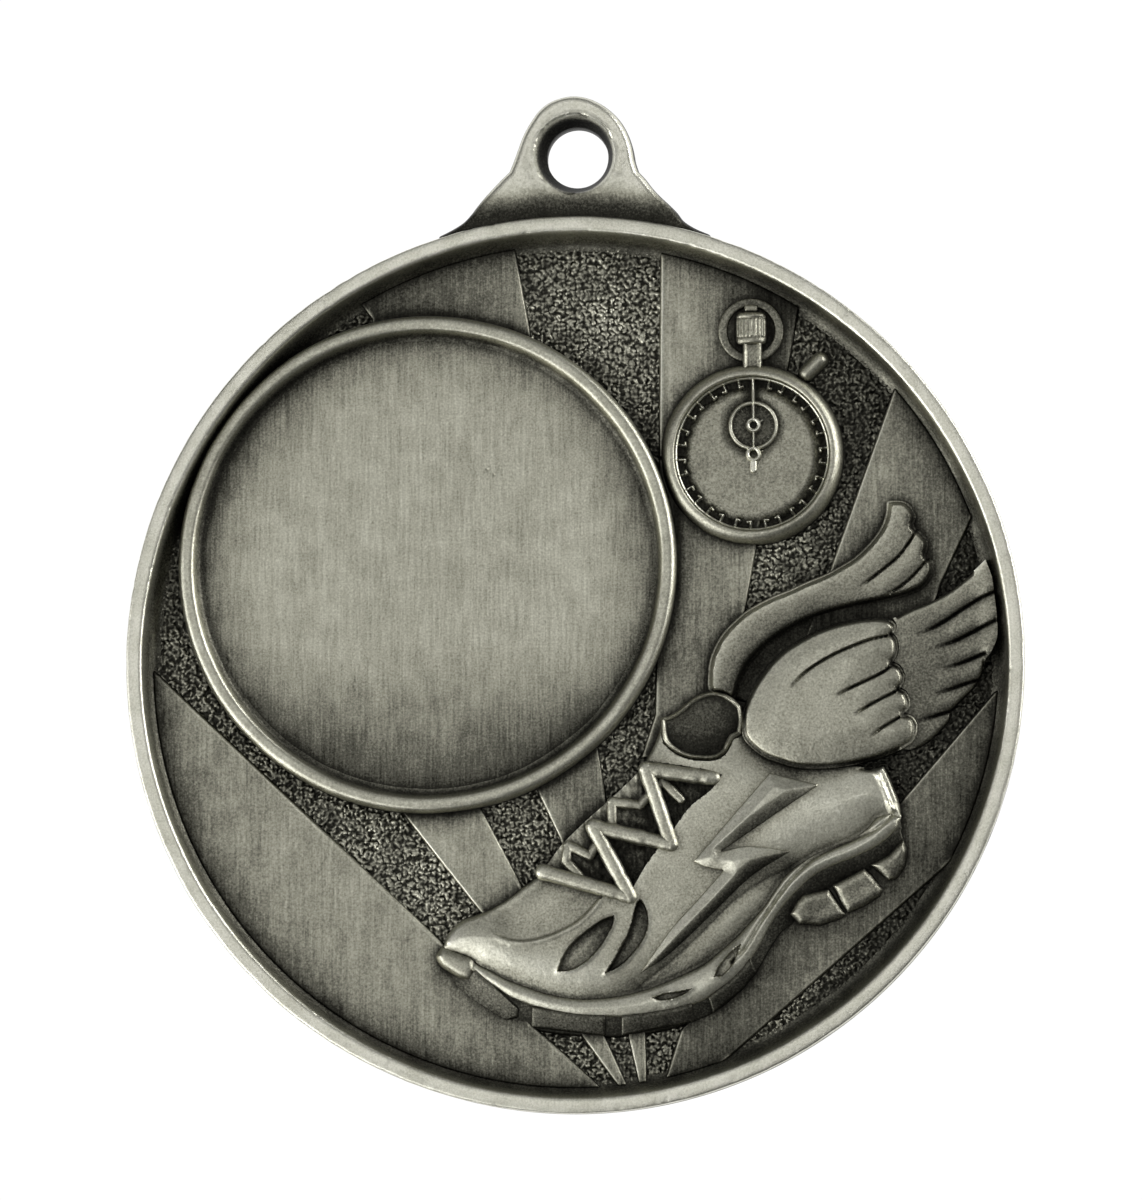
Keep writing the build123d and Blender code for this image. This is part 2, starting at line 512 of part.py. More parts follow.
# Minute track: a thin ring against the case with radial marks pointing inwards
with BuildPart() as watch_minute_track:
    with BuildSketch(face_plane(2.15)):
        with Locations((WATCH_X, WATCH_Z)):
            Circle(WATCH_DIAL_R)
            Circle(WATCH_DIAL_R - 0.08, mode=Mode.SUBTRACT)
            with PolarLocations(WATCH_DIAL_R - 0.32, MARKS, start_angle=84):
                Rectangle(0.56, 0.11)
    extrude(amount=0.15)

hand_face = (
    poly_face([(9.93, 13.3), (9.9, HAND_TIP_Z - 0.15), (10.08, HAND_TIP_Z - 0.15), (10.06, 13.3)])
    + disc_face(*PIVOT_1, 0.44)
    + poly_face([(9.9, 11.7), (9.9, 13.3), (10.08, 13.3), (10.08, 11.7)])
    + disc_face(*PIVOT_2, 0.46)
    + poly_face([(9.76, HAND_TAIL_Z), (9.76, 11.6), (10.22, 11.6), (10.22, HAND_TAIL_Z)])
) - disc_face(*PIVOT_1, 0.19) - disc_face(*PIVOT_2, 0.2)

with BuildPart() as watch_hand:
    with BuildSketch(face_plane(2.15)):
        add(hand_face)
    extrude(amount=0.32)

with BuildPart() as watch_subdial:
    with BuildSketch(face_plane(2.15)):
        add(disc_face(*SUBDIAL, 1.37) - disc_face(*SUBDIAL, 1.17) - disc_face(*PIVOT_1, 0.44) - hand_face)
    extrude(amount=0.2)

with BuildPart() as watch_crown:
    with BuildSketch(face_plane(GROUND_TOP)):
        add(crown_face)
        add(stem_face)
    extrude(amount=0.45)
    with BuildSketch(face_plane(2.25)):
        add(crown_face)
    extrude(amount=0.4)

with BuildPart() as watch_bow:
    with BuildSketch(face_plane(GROUND_TOP)):
        add(bow_face)
    extrude(amount=0.5)

with BuildPart() as watch_pusher:
    with BuildSketch(face_plane(GROUND_TOP)):
        add(pusher_face)
    extrude(amount=0.62)


def relief(footprint, top, count=1):
    """Upright solid on the ground from a footprint."""
    with BuildPart() as raised:
        with BuildSketch(face_plane(GROUND_TOP)):
            add(largest(footprint, count))
        extrude(amount=top - GROUND_TOP)
    return raised


# Running shoe
shoe_upper = relief(upper_face, 2.78)
with BuildPart() as shoe_upper_vented:
    add(shoe_upper.part)
    with BuildSketch(face_plane(2.48)):
        add(loop_face(VENT1))
        add(loop_face(VENT2))
    extrude(amount=0.4, mode=Mode.SUBTRACT)
shoe_flash = relief(flash_face, 3.0)
shoe_laces = relief(lace_face, 3.05)
shoe_tongue = relief(throat_face, 2.35, 6)
shoe_collar = relief(collar_face, 2.8)
shoe_lining = relief(lining_face, 2.2)
shoe_toe_bumper = relief(bumper_face, 2.7)
with BuildPart() as shoe_midsole:
    add(relief(midsole_face, 2.72).part)
    with BuildSketch(face_plane(2.5)):
        add(loop_face(SLOT1))
        add(loop_face(SLOT2))
    extrude(amount=0.3, mode=Mode.SUBTRACT)
shoe_outsole = relief(outsole_all, 2.12)
with BuildPart() as shoe_treads:
    with BuildSketch(face_plane(2.12)):
        for block in tread_blocks:
            add(block & outsole_all)
    extrude(amount=0.4)


def grooved(footprint, top, grooves, depth, width):
    """Relief with narrow grooves that part its feathers."""
    with BuildPart() as feathers:
        add(relief(footprint, top).part)
        with BuildSketch(face_plane(top - depth)):
            for line in grooves:
                add(stroke_face(line, width))
        extrude(amount=depth + 0.1, mode=Mode.SUBTRACT)
    return feathers


# Wing at the heel
wing_rear = grooved(wing_rear_face, 2.62, [GR1, GR2], 0.3, 0.14)
wing_coverts = grooved(covert_face, 2.95, [GC1, GC2, GC3, GC4], 0.3, 0.14)
wing_primaries = grooved(primaries_face, 2.42, [GP1, GP2, GP3, GP4, GP5], 0.3, 0.14)

pieces = {
    "back_plate": back_plate,
    "raised_rim": raised_rim,
    "hanger_loop": hanger_loop,
    "stippled_ground": stippled_ground,
    "insert_bezel": insert_bezel,
    "insert_seat": insert_seat,
    "watch_case": watch_case,
    "watch_dial": watch_dial,
    "watch_minute_track": watch_minute_track,
    "watch_subdial": watch_subdial,
    "watch_hand": watch_hand,
    "watch_crown": watch_crown,
    "watch_bow": watch_bow,
    "watch_pusher": watch_pusher,
    "shoe_upper": shoe_upper_vented,
    "shoe_flash": shoe_flash,
    "shoe_laces": shoe_laces,
    "shoe_tongue": shoe_tongue,
    "shoe_collar": shoe_collar,
    "shoe_lining": shoe_lining,
    "shoe_toe_bumper": shoe_toe_bumper,
    "shoe_midsole": shoe_midsole,
    "shoe_outsole": shoe_outsole,
    "shoe_treads": shoe_treads,
    "wing_rear": wing_rear,
    "wing_coverts": wing_coverts,
    "wing_primaries": wing_primaries,
    **ray_parts,
}
for piece_name, piece in pieces.items():
    solid = piece if isinstance(piece, (Part, Compound, Solid)) else piece.part
    solid.label = piece_name
    export_step(solid, f"parts/{piece_name}.step")
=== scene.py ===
"""Finisher medal: the visual model of one die casting in antique silver.

The decorated face is built as height fields over the same outlines as the CAD nodes, in millimetres:
x to the right and z up from the disc's centre, h above the back face. Everything is then placed in the frame in metres.
"""

import math

import bpy
import numpy as np
from mathutils import Matrix, Vector
from mathutils.bvhtree import BVHTree
from mathutils.geometry import delaunay_2d_cdt


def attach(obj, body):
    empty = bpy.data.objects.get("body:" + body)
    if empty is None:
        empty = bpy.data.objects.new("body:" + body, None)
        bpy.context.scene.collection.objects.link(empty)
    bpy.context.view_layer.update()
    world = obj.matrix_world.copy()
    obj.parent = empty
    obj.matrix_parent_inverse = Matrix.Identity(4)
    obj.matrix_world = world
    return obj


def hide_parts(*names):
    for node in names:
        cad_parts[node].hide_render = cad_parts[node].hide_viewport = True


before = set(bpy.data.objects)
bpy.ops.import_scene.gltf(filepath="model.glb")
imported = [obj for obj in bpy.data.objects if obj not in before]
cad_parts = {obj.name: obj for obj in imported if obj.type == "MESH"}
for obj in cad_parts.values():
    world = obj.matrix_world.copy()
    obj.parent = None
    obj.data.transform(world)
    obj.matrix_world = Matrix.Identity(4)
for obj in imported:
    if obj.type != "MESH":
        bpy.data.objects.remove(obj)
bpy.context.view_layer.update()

THICK = 3.2
DROP = 28.5

# ---------------------------------------------------------------- outlines
# Outlines in the face plane, measured from the disc centre. Each is a loop of runs that share end points.
SHOE_UPPER = [
    [(-7.21, -15.84), (-7.26, -15.45), (-7.12, -15.11), (-6.90, -14.78), (-6.57, -14.44),
     (-6.12, -14.16), (-5.51, -13.94), (-4.84, -13.66), (-4.12, -13.27), (-3.45, -12.82),
     (-2.90, -12.38), (-2.45, -12.07), (-1.84, -11.48), (-1.34, -10.82), (-0.78, -10.09),
     (-0.12, -9.48), (0.66, -8.64), (1.44, -7.97), (2.05, -7.41), (2.78, -6.74),
     (3.50, -5.96), (4.00, -5.18), (4.39, -4.46), (4.67, -3.73), (4.78, -3.03)],
    [(4.78, -3.03), (5.11, -2.98), (5.45, -3.06)],
    [(5.45, -3.06), (6.00, -2.73), (6.45, -2.31), (7.00, -1.94), (7.67, -1.75),
     (8.23, -1.83), (8.73, -2.11), (9.17, -2.50)],
    [(9.17, -2.50), (9.28, -3.40), (9.37, -4.12), (9.90, -4.79), (10.62, -5.29),
     (11.34, -5.57), (12.29, -5.85), (13.40, -5.93), (14.51, -5.88), (15.63, -5.79),
     (16.40, -5.88), (17.18, -5.71)],
    [(17.18, -5.71), (17.46, -6.24), (17.74, -6.91), (18.02, -7.58), (18.16, -8.19),
     (18.13, -8.64)],
    [(18.13, -8.64), (17.52, -8.42)],
    [(17.52, -8.42), (16.74, -8.70), (16.24, -9.25), (15.35, -9.87), (14.46, -10.20),
     (13.40, -10.65), (12.57, -11.15), (11.73, -11.82), (11.12, -12.66), (10.62, -13.44),
     (9.79, -14.39), (8.95, -15.28), (8.12, -16.00), (7.28, -16.67), (6.45, -17.12),
     (5.45, -17.57), (4.50, -17.96), (3.39, -18.29), (2.28, -18.51), (1.16, -18.63),
     (0.05, -18.63), (-1.34, -18.40), (-2.73, -17.96), (-3.84, -17.51), (-4.68, -17.06),
     (-5.34, -16.73), (-5.73, -16.39), (-6.35, -16.12), (-7.21, -15.84)],
]
FLASH = [
    [(10.85, -6.14), (13.57, -6.81)],
    [(13.57, -6.81), (8.18, -10.49)],
    [(8.18, -10.49), (9.62, -10.21), (12.01, -10.49)],
    [(12.01, -10.49), (9.90, -11.83), (7.84, -13.78), (6.45, -15.12), (5.06, -16.35),
     (3.67, -17.24)],
    [(3.67, -17.24), (5.34, -14.84), (7.01, -13.00), (8.29, -11.55)],
    [(8.29, -11.55), (7.34, -11.38), (6.62, -11.05)],
    [(6.62, -11.05), (10.85, -6.14)],
]
VENT1 = [
    [(-0.95, -17.12), (-0.73, -16.51), (-0.39, -15.89), (0.16, -15.28), (0.89, -14.72),
     (1.55, -14.27), (2.22, -14.02)],
    [(2.22, -14.02), (2.22, -14.39), (2.00, -14.89), (1.66, -15.50), (1.28, -16.00),
     (0.72, -16.56), (0.11, -16.95), (-0.50, -17.12), (-0.95, -17.12)],
]
VENT2 = [
    [(1.72, -17.23), (2.17, -16.51), (2.55, -15.84), (2.94, -15.11), (3.22, -14.27),
     (3.44, -13.44), (3.67, -13.10)],
    [(3.67, -13.10), (3.95, -13.49), (4.11, -14.05), (4.11, -14.61), (3.89, -15.28),
     (3.44, -15.95), (2.89, -16.56), (2.28, -17.01), (1.72, -17.23)],
]
LINING = [
    [(5.05, -3.20), (5.44, -3.12), (5.99, -2.78), (6.44, -2.39), (6.99, -2.03),
     (7.66, -1.83), (8.22, -1.92), (8.66, -2.17), (9.05, -2.50)],
    [(9.05, -2.50), (9.14, -3.20), (9.05, -3.81)],
    [(9.05, -3.81), (8.66, -3.98)],
    [(8.66, -3.98), (8.44, -4.37), (8.22, -4.82), (7.77, -5.10), (6.99, -5.13),
     (6.22, -4.99), (5.60, -4.65), (5.21, -4.21), (5.05, -3.20)],
]
COLLAR = [
    [(4.79, -3.04), (5.33, -2.84), (5.81, -2.54), (6.25, -2.16), (6.87, -1.75),
     (7.65, -1.53), (8.33, -1.63), (8.85, -1.92), (9.34, -2.37)],
    [(9.34, -2.37), (9.47, -3.22), (9.32, -4.03)],
    [(9.32, -4.03), (8.89, -4.24)],
    [(8.89, -4.24), (8.73, -4.54), (8.47, -5.06), (7.88, -5.43), (6.98, -5.47),
     (6.12, -5.31), (5.41, -4.92), (4.93, -4.36), (4.79, -3.04)],
]
THROAT = [
    [(-1.62, -11.37), (-0.79, -10.20), (0.66, -8.75), (2.05, -7.52), (3.50, -6.12),
     (4.11, -5.45)],
    [(4.11, -5.45), (7.00, -5.90), (8.23, -6.23)],
    [(8.23, -6.23), (7.67, -7.02), (6.45, -8.02), (5.22, -9.69), (4.22, -10.92),
     (3.00, -12.99)],
    [(3.00, -12.99), (1.72, -12.71), (0.05, -12.04), (-1.62, -11.37)],
]
MIDSOLE = [
    [(-5.74, -16.39), (-5.35, -16.73), (-4.68, -17.06), (-3.85, -17.51), (-2.73, -17.95),
     (-1.34, -18.40), (0.05, -18.62), (1.16, -18.62), (2.27, -18.51), (3.39, -18.29),
     (4.50, -17.95), (5.44, -17.56), (6.45, -17.12), (7.28, -16.67), (8.11, -16.00),
     (8.95, -15.27), (9.78, -14.38), (10.62, -13.43), (11.12, -12.65), (11.73, -11.81),
     (12.57, -11.15), (13.40, -10.64), (14.46, -10.20), (15.35, -9.86), (16.24, -9.25),
     (16.74, -8.69), (17.52, -8.41)],
    [(17.52, -8.41), (18.13, -8.63)],
    [(18.13, -8.63), (17.96, -9.25), (17.57, -9.69), (17.02, -10.14), (16.35, -10.53),
     (15.35, -10.98), (14.35, -11.37), (13.40, -11.87), (12.68, -12.48), (12.01, -13.15),
     (11.45, -13.82), (10.90, -14.66), (10.45, -15.50), (10.01, -16.28), (9.45, -17.06),
     (8.78, -17.73), (7.89, -18.40), (7.00, -18.90), (5.89, -19.24), (4.78, -19.46),
     (3.66, -19.63), (2.55, -19.71), (1.44, -19.71), (0.33, -19.66), (-0.79, -19.49),
     (-1.90, -19.24), (-2.73, -18.96), (-3.57, -18.62), (-4.35, -18.12), (-5.13, -17.56),
     (-5.68, -17.00)],
    [(-5.68, -17.00), (-5.74, -16.39)],
]
BUMPER = [
    [(-7.22, -15.83), (-6.35, -16.11), (-5.74, -16.39)],
    [(-5.74, -16.39), (-5.69, -17.00)],
    [(-5.69, -17.00), (-6.02, -17.45)],
    [(-6.02, -17.45), (-6.58, -17.17), (-7.08, -16.84), (-7.49, -16.50)],
    [(-7.49, -16.50), (-7.47, -16.11)],
    [(-7.47, -16.11), (-7.22, -15.83)],
]
SLOT1 = [
    [(7.73, -17.45), (7.95, -16.95), (8.34, -16.39), (8.78, -15.94), (9.23, -15.61)],
    [(9.23, -15.61), (9.00, -16.33), (8.67, -16.95), (8.23, -17.40)],
    [(8.23, -17.40), (7.73, -17.45)],
]
SLOT2 = [
    [(4.33, -18.57), (5.00, -18.34), (5.78, -18.23), (6.56, -18.06)],
    [(6.56, -18.06), (6.11, -18.40), (5.33, -18.68), (4.72, -18.73), (4.33, -18.57)],
]
OUTSOLE = [
    [(-6.03, -17.38), (-5.48, -16.88)],
    [(-5.48, -16.88), (-4.14, -17.72), (-1.91, -18.73), (1.43, -19.23), (4.77, -18.89),
     (6.99, -18.17), (8.94, -16.83), (10.17, -15.26), (11.73, -13.03), (13.68, -11.24),
     (16.18, -9.85), (17.46, -8.95), (18.07, -8.78)],
    [(18.07, -8.78), (18.30, -9.68), (18.58, -10.24), (18.58, -11.02), (18.13, -11.80),
     (17.74, -12.75), (16.79, -13.53), (15.46, -14.09), (14.68, -14.70), (13.23, -14.87),
     (12.28, -14.65), (11.62, -14.93), (10.89, -15.93), (10.17, -17.16), (9.33, -18.17),
     (8.22, -19.17), (6.99, -19.84), (5.32, -20.34), (3.65, -20.68), (1.71, -20.79),
     (-0.24, -20.68), (-1.91, -20.46), (-3.31, -20.07), (-4.70, -19.51), (-5.92, -18.78),
     (-6.81, -17.94), (-7.43, -17.05), (-7.51, -16.55)],
    [(-7.51, -16.55), (-7.09, -16.88), (-6.59, -17.22), (-6.03, -17.38)],
]
WING_REAR = [
    [(17.35, 9.07), (17.91, 9.12), (18.41, 9.04), (18.80, 8.73), (19.08, 8.12)],
    [(19.08, 8.12), (18.96, 7.61)],
    [(18.96, 7.61), (19.35, 7.28), (19.69, 6.83), (19.74, 6.33), (19.63, 6.00)],
    [(19.63, 6.00), (20.02, 5.66)],
    [(20.02, 5.66), (20.05, 5.05), (19.80, 4.49), (19.35, 4.04), (18.41, 3.65),
     (17.02, 3.32), (15.35, 2.98), (13.40, 2.42), (11.90, 1.70), (10.62, 0.80),
     (9.78, -0.14), (9.28, -1.09), (9.06, -1.82), (8.78, -2.15)],
    [(8.78, -2.15), (8.22, -1.85), (7.67, -1.76)],
    [(7.67, -1.76), (7.42, -1.43), (7.39, -0.59), (7.50, 0.25), (7.78, 0.97),
     (8.22, 1.70), (8.78, 2.31), (9.50, 2.93), (10.34, 3.43), (11.17, 3.82),
     (12.01, 4.15), (12.84, 4.54), (13.96, 4.99), (14.79, 5.44), (15.51, 5.88),
     (16.13, 6.44), (16.68, 7.06), (17.07, 7.67), (17.29, 8.34), (17.35, 9.07)],
]
COVERT = [
    [(17.91, 2.09), (17.91, 1.78), (17.77, 1.56)],
    [(17.77, 1.56), (17.96, 1.28), (18.04, 0.78), (17.96, 0.33), (17.77, -0.00)],
    [(17.77, -0.00), (18.13, -0.22), (18.41, -0.73)],
    [(18.41, -0.73), (18.35, -1.17), (18.16, -1.45)],
    [(18.16, -1.45), (18.46, -1.62)],
    [(18.46, -1.62), (18.68, -2.18), (18.63, -2.57), (18.41, -2.84)],
    [(18.41, -2.84), (18.80, -3.01), (19.07, -3.46)],
    [(19.07, -3.46), (19.02, -4.02), (18.80, -4.46), (18.24, -4.85), (17.46, -5.19),
     (16.57, -5.47), (15.63, -5.69), (14.51, -5.88), (13.40, -5.94), (12.29, -5.86),
     (11.34, -5.58), (10.62, -5.30), (9.90, -4.80), (9.37, -4.13), (9.29, -3.40),
     (9.34, -2.68), (9.56, -2.01), (9.90, -1.28), (10.34, -0.61), (10.90, 0.11),
     (11.62, 0.78), (12.40, 1.28), (13.23, 1.73), (14.24, 2.12), (15.35, 2.40),
     (16.35, 2.54), (17.02, 2.54), (17.57, 2.40), (17.91, 2.09)],
]
PRIMARIES = [
    [(17.74, 2.44), (18.69, 2.94), (19.80, 3.39), (20.91, 4.00), (22.03, 4.90),
     (22.86, 5.68)],
    [(22.86, 5.68), (23.20, 4.73), (23.36, 3.61), (23.48, 2.38), (23.48, 1.38),
     (23.14, 0.54), (22.81, 0.09), (22.75, -0.41), (22.53, -0.97), (22.19, -1.47),
     (21.69, -1.97), (21.30, -2.36), (20.97, -2.70), (20.86, -3.20), (20.36, -3.81),
     (19.69, -4.43), (18.97, -4.82), (18.24, -4.82)],
    [(18.24, -4.82), (18.80, -4.43), (19.02, -3.98), (19.08, -3.42)],
    [(19.08, -3.42), (18.80, -2.98), (18.41, -2.81)],
    [(18.41, -2.81), (18.63, -2.53), (18.69, -2.14), (18.46, -1.58)],
    [(18.46, -1.58), (18.16, -1.41)],
    [(18.16, -1.41), (18.35, -1.13), (18.41, -0.69)],
    [(18.41, -0.69), (18.13, -0.18), (17.77, 0.04)],
    [(17.77, 0.04), (17.96, 0.37), (18.05, 0.82), (17.96, 1.32), (17.77, 1.60)],
    [(17.77, 1.60), (17.91, 1.83), (17.91, 2.13), (17.74, 2.44)],
]
GR1 = [(16.01, 4.27), (17.02, 5.05), (18.07, 5.94), (18.69, 6.78), (19.08, 7.50)]
GR2 = [(17.24, 3.65), (18.41, 4.43), (19.30, 5.33), (19.80, 6.00)]
GC1 = [(12.07, -1.34), (12.57, -0.81), (13.23, -0.28), (14.24, 0.33), (15.35, 0.84), (16.46, 1.25), (17.79, 1.56)]
GC2 = [(14.62, -1.84), (15.35, -1.45), (16.35, -0.98), (17.24, -0.50), (17.79, -0.00)]
GC3 = [(15.63, -2.90), (16.40, -2.40), (17.24, -1.95), (18.18, -1.45)]
GC4 = [(16.52, -4.13), (17.07, -3.68), (17.79, -3.23), (18.46, -2.84)]
GP1 = [(19.13, 1.55), (20.36, 2.16), (21.47, 2.89), (22.58, 3.56), (23.31, 3.89)]
GP2 = [(20.08, 0.82), (21.19, 1.21), (22.31, 1.77), (23.42, 2.33)]
GP3 = [(20.58, -0.35), (21.69, 0.04), (22.81, 0.49)]
GP4 = [(20.13, -1.75), (21.25, -1.36), (22.42, -0.97)]
GP5 = [(19.13, -3.26), (20.02, -2.98), (20.91, -2.70)]
TOECAP = [(-5.23, -14.11), (-4.90, -14.61), (-4.40, -15.06), (-3.73, -15.39), (-3.01, -15.50), (-2.17, -15.42), (-1.34, -15.19), (-0.50, -14.83), (0.22, -14.41), (0.89, -13.80), (1.39, -13.21)]
LACE = [(7.73, -6.42), (4.01, -5.92), (5.40, -10.10), (1.06, -9.10), (3.12, -13.00), (-1.72, -11.61)]
LACE_REAR = [(5.89, -7.57), (4.89, -6.57), (3.66, -7.91), (2.11, -7.74), (2.11, -8.80), (0.88, -10.70), (-0.34, -10.14), (-0.45, -11.03), (0.77, -12.37)]
FLANK = [(3.67, -11.04), (5.22, -9.14), (6.45, -7.58), (7.34, -6.69)]
UPPER_LOW = [(3.67, -17.90), (5.34, -16.62), (7.00, -15.11), (8.67, -13.44), (10.62, -12.04), (12.01, -11.37)]
RAYS = [
    ("ray_lower_left", [(-24.98, 1.18), (-23.40, -0.32), (-7.56, -15.24), (4.09, -25.87), (-9.74, -29.89), (-28.69, -18.71), (-28.69, 5.89)]),
    ("ray_left", [(-10.02, -7.81), (-10.57, -7.08), (-5.84, -6.75), (-5.17, -8.03), (-2.94, -12.23), (-1.93, -14.24), (-4.16, -15.19), (-5.34, -13.74)]),
    ("ray_upper_left", [(-15.31, 28.81), (-4.16, 28.81), (-3.30, 23.28), (-2.44, 18.58), (-1.93, 15.39), (-11.30, 17.07), (-11.41, 19.42), (-12.53, 20.93), (-13.64, 22.66)]),
    ("ray_centre", [(-3.05, -5.07), (-0.88, -9.71), (0.02, -12.56), (2.41, -11.16), (1.77, -7.31), (0.91, -2.11)]),
    ("ray_watch_top", [(4.78, 23.05), (4.81, 26.02), (13.67, 26.02), (12.56, 19.75), (11.16, 11.76), (6.98, 11.76), (4.67, 12.60)]),
    ("ray_watch_foot", [(5.87, 10.36), (11.00, 10.36), (9.71, 3.93), (8.93, -0.82), (6.43, -5.29), (3.64, -5.29), (4.44, -2.78), (4.59, 0.86)]),
    ("ray_right", [(17.77, 15.28), (18.41, 17.07), (23.71, 11.48), (21.98, 7.68), (20.42, 4.38), (19.53, 1.42), (12.56, 0.86), (14.12, 5.05)]),
    ("ray_lower_right", [(23.26, -1.66), (25.38, -0.26), (24.82, -7.53), (20.19, -11.72), (8.77, -21.73), (4.09, -25.87), (5.87, -20.28), (18.13, -7.64)]),
    ("ray_tail_left", [(-0.26, -19.83), (1.58, -20.39), (4.09, -25.87)]),
    ("ray_tail_middle", [(2.86, -20.39), (3.97, -20.11), (4.09, -25.87)]),
]
TREADS = [
    [(-7.48, -16.49), (-6.81, -17.94), (-5.81, -18.73), (-3.86, -19.90), (-3.08, -19.67), (-3.03, -19.17), (-4.36, -17.89), (-5.81, -16.49)],
    [(-2.42, -19.00), (-2.47, -20.23), (1.76, -20.74), (1.82, -19.40)],
    [(2.54, -19.40), (2.54, -20.74), (6.66, -19.95), (6.60, -18.73)],
    [(7.33, -18.50), (7.66, -19.51), (9.33, -18.17), (10.17, -17.16), (9.78, -16.21)],
    [(12.0, -13.95), (12.39, -13.22), (12.72, -12.88), (14.09, -12.6), (14.4, -13.05), (15.0, -13.95), (14.68, -14.22), (13.67, -14.56), (12.56, -14.5)],
    [(14.37, -12.37), (16.05, -11.48), (16.46, -11.81), (17.08, -12.6), (16.9, -12.98), (16.08, -13.52), (15.2, -13.88), (14.85, -13.4)],
    [(16.46, -11.2), (17.4, -10.69), (17.75, -10.32), (18.23, -9.86), (18.48, -10.49), (18.33, -11.44), (17.88, -11.98), (17.4, -12.08)],
]
BEAD = [(17.96, -7.92), (17.57, -8.53), (16.85, -9.20), (15.57, -9.81), (14.35, -10.32), (13.23, -10.93), (12.51, -11.54),
        (11.84, -12.27), (11.12, -13.22), (10.56, -14.05), (10.00, -14.94), (9.50, -15.78), (8.78, -16.61)]
LACE_WIDTH = 0.78


# ---------------------------------------------------------------- curves and distances
def curve(points, step=0.07):
    """Smooth curve through points, sampled evenly enough for a mesh."""
    p = np.array(points, float)
    if len(p) == 2:
        n = max(2, int(np.hypot(*(p[1] - p[0])) / step))
        t = np.linspace(0, 1, n + 1)[:, None]
        return p[0] + (p[1] - p[0]) * t
    q = np.vstack([2 * p[0] - p[1], p, 2 * p[-1] - p[-2]])
    out = []
    for i in range(1, len(q) - 2):
        a, b, c, d = q[i - 1], q[i], q[i + 1], q[i + 2]
        n = max(2, int(np.hypot(*(c - b)) / step))
        ta, tb, tc = [max(1e-6, np.hypot(*v)) ** 0.5 for v in (b - a, c - b, d - c)]
        m1 = (b - a) / ta - (c - a) / (ta + tb) + (c - b) / tb
        m2 = (c - b) / tb - (d - b) / (tb + tc) + (d - c) / tc
        m1, m2 = m1 * tb, m2 * tb
        t = np.linspace(0, 1, n, endpoint=False)[:, None]
        out.append(
            (2 * t**3 - 3 * t**2 + 1) * b + (t**3 - 2 * t**2 + t) * m1
            + (-2 * t**3 + 3 * t**2) * c + (t**3 - t**2) * m2
        )
    out.append(p[-1:])
    return np.vstack(out)


def loop(runs, step=0.07):
    return np.vstack([curve(r, step)[:-1] for r in runs])


def circle(cx, cz, r, step=0.07, n=None):
    n = n or max(16, int(2 * math.pi * r / step))
    t = np.linspace(0, 2 * math.pi, n, endpoint=False)
    return np.stack([cx + r * np.cos(t), cz + r * np.sin(t)], 1)


def capsule(a, b, r, step=0.07):
    a, b = np.array(a, float), np.array(b, float)
    g = math.atan2(b[1] - a[1], b[0] - a[0])
    n = max(6, int(math.pi * r / step))
    t1 = np.linspace(g - math.pi / 2, g + math.pi / 2, n + 1)
    t2 = t1 + math.pi
    e1 = np.stack([b[0] + r * np.cos(t1), b[1] + r * np.sin(t1)], 1)
    e2 = np.stack([a[0] + r * np.cos(t2), a[1] + r * np.sin(t2)], 1)
    m = max(2, int(np.hypot(*(b - a)) / step))
    s = np.linspace(0, 1, m + 1)[1:-1, None]
    return np.vstack([e1, e1[-1] + (e2[0] - e1[-1]) * s, e2, e2[-1] + (e1[0] - e2[-1]) * s])


def _near(p, a, v, vv):
    w = p[:, None] - a[None]
    t = np.clip((w * v).sum(2) / vv, 0, 1)
    w -= t[..., None] * v
    return np.sqrt((w * w).sum(2).min(1))


def seg_dist(p, a, b):
    """Distance from points to the nearest of many segments, cell by cell where there are many."""
    p = np.asarray(p, float)
    a = np.asarray(a, float)
    v = np.asarray(b, float) - a
    vv = np.maximum((v**2).sum(1), 1e-12)
    out = np.empty(len(p))
    if len(p) * len(a) < 400000:
        for i in range(0, len(p), 3000):
            out[i : i + 3000] = _near(p[i : i + 3000], a, v, vv)
        return out
    lo = p.min(0)
    ext = np.maximum(np.ptp(p, axis=0), 1e-6)
    cs = max(0.25, math.sqrt(ext[0] * ext[1] * 60 / len(p)))
    n = np.maximum(1, np.ceil(ext / cs)).astype(int)
    ij = np.minimum(((p - lo) / cs).astype(int), n - 1)
    key = ij[:, 0] * n[1] + ij[:, 1]
    order = np.argsort(key, kind="stable")
    ks, starts = np.unique(key[order], return_index=True)
    ends = np.append(starts[1:], len(p))
    cen = lo + (np.stack([ks // n[1], ks % n[1]], 1) + 0.5) * cs
    for i0 in range(0, len(ks), 500):
        cc = cen[i0 : i0 + 500]
        w = cc[:, None] - a[None]
        t = np.clip((w * v).sum(2) / vv, 0, 1)
        w -= t[..., None] * v
        dd = np.sqrt((w * w).sum(2))
        lim = dd.min(1) + cs * 1.4143
        for k in range(len(cc)):
            sel = np.nonzero(dd[k] <= lim[k])[0]
            idx = order[starts[i0 + k] : ends[i0 + k]]
            out[idx] = _near(p[idx], a[sel], v[sel], vv[sel])
    return out


def line_dist(p, line):
    line = np.asarray(line)
    return seg_dist(p, line[:-1], line[1:])


def line_side(p, line):
    """Signed distance to an open curve: positive on its left."""
    line = np.asarray(line, float)
    a, b = line[:-1], line[1:]
    v = b - a
    vv = np.maximum((v**2).sum(1), 1e-12)
    out = np.empty(len(p))
    for i in range(0, len(p), 4000):
        w = p[i : i + 4000, None] - a[None]
        t = np.clip((w * v).sum(2) / vv, 0, 1)
        e = w - t[..., None] * v
        d2 = (e**2).sum(2)
        k = d2.argmin(1)
        r = np.arange(len(k))
        s = v[k, 0] * w[r, k, 1] - v[k, 1] * w[r, k, 0]
        out[i : i + 4000] = np.sign(s) * np.sqrt(d2[r, k])
    return out


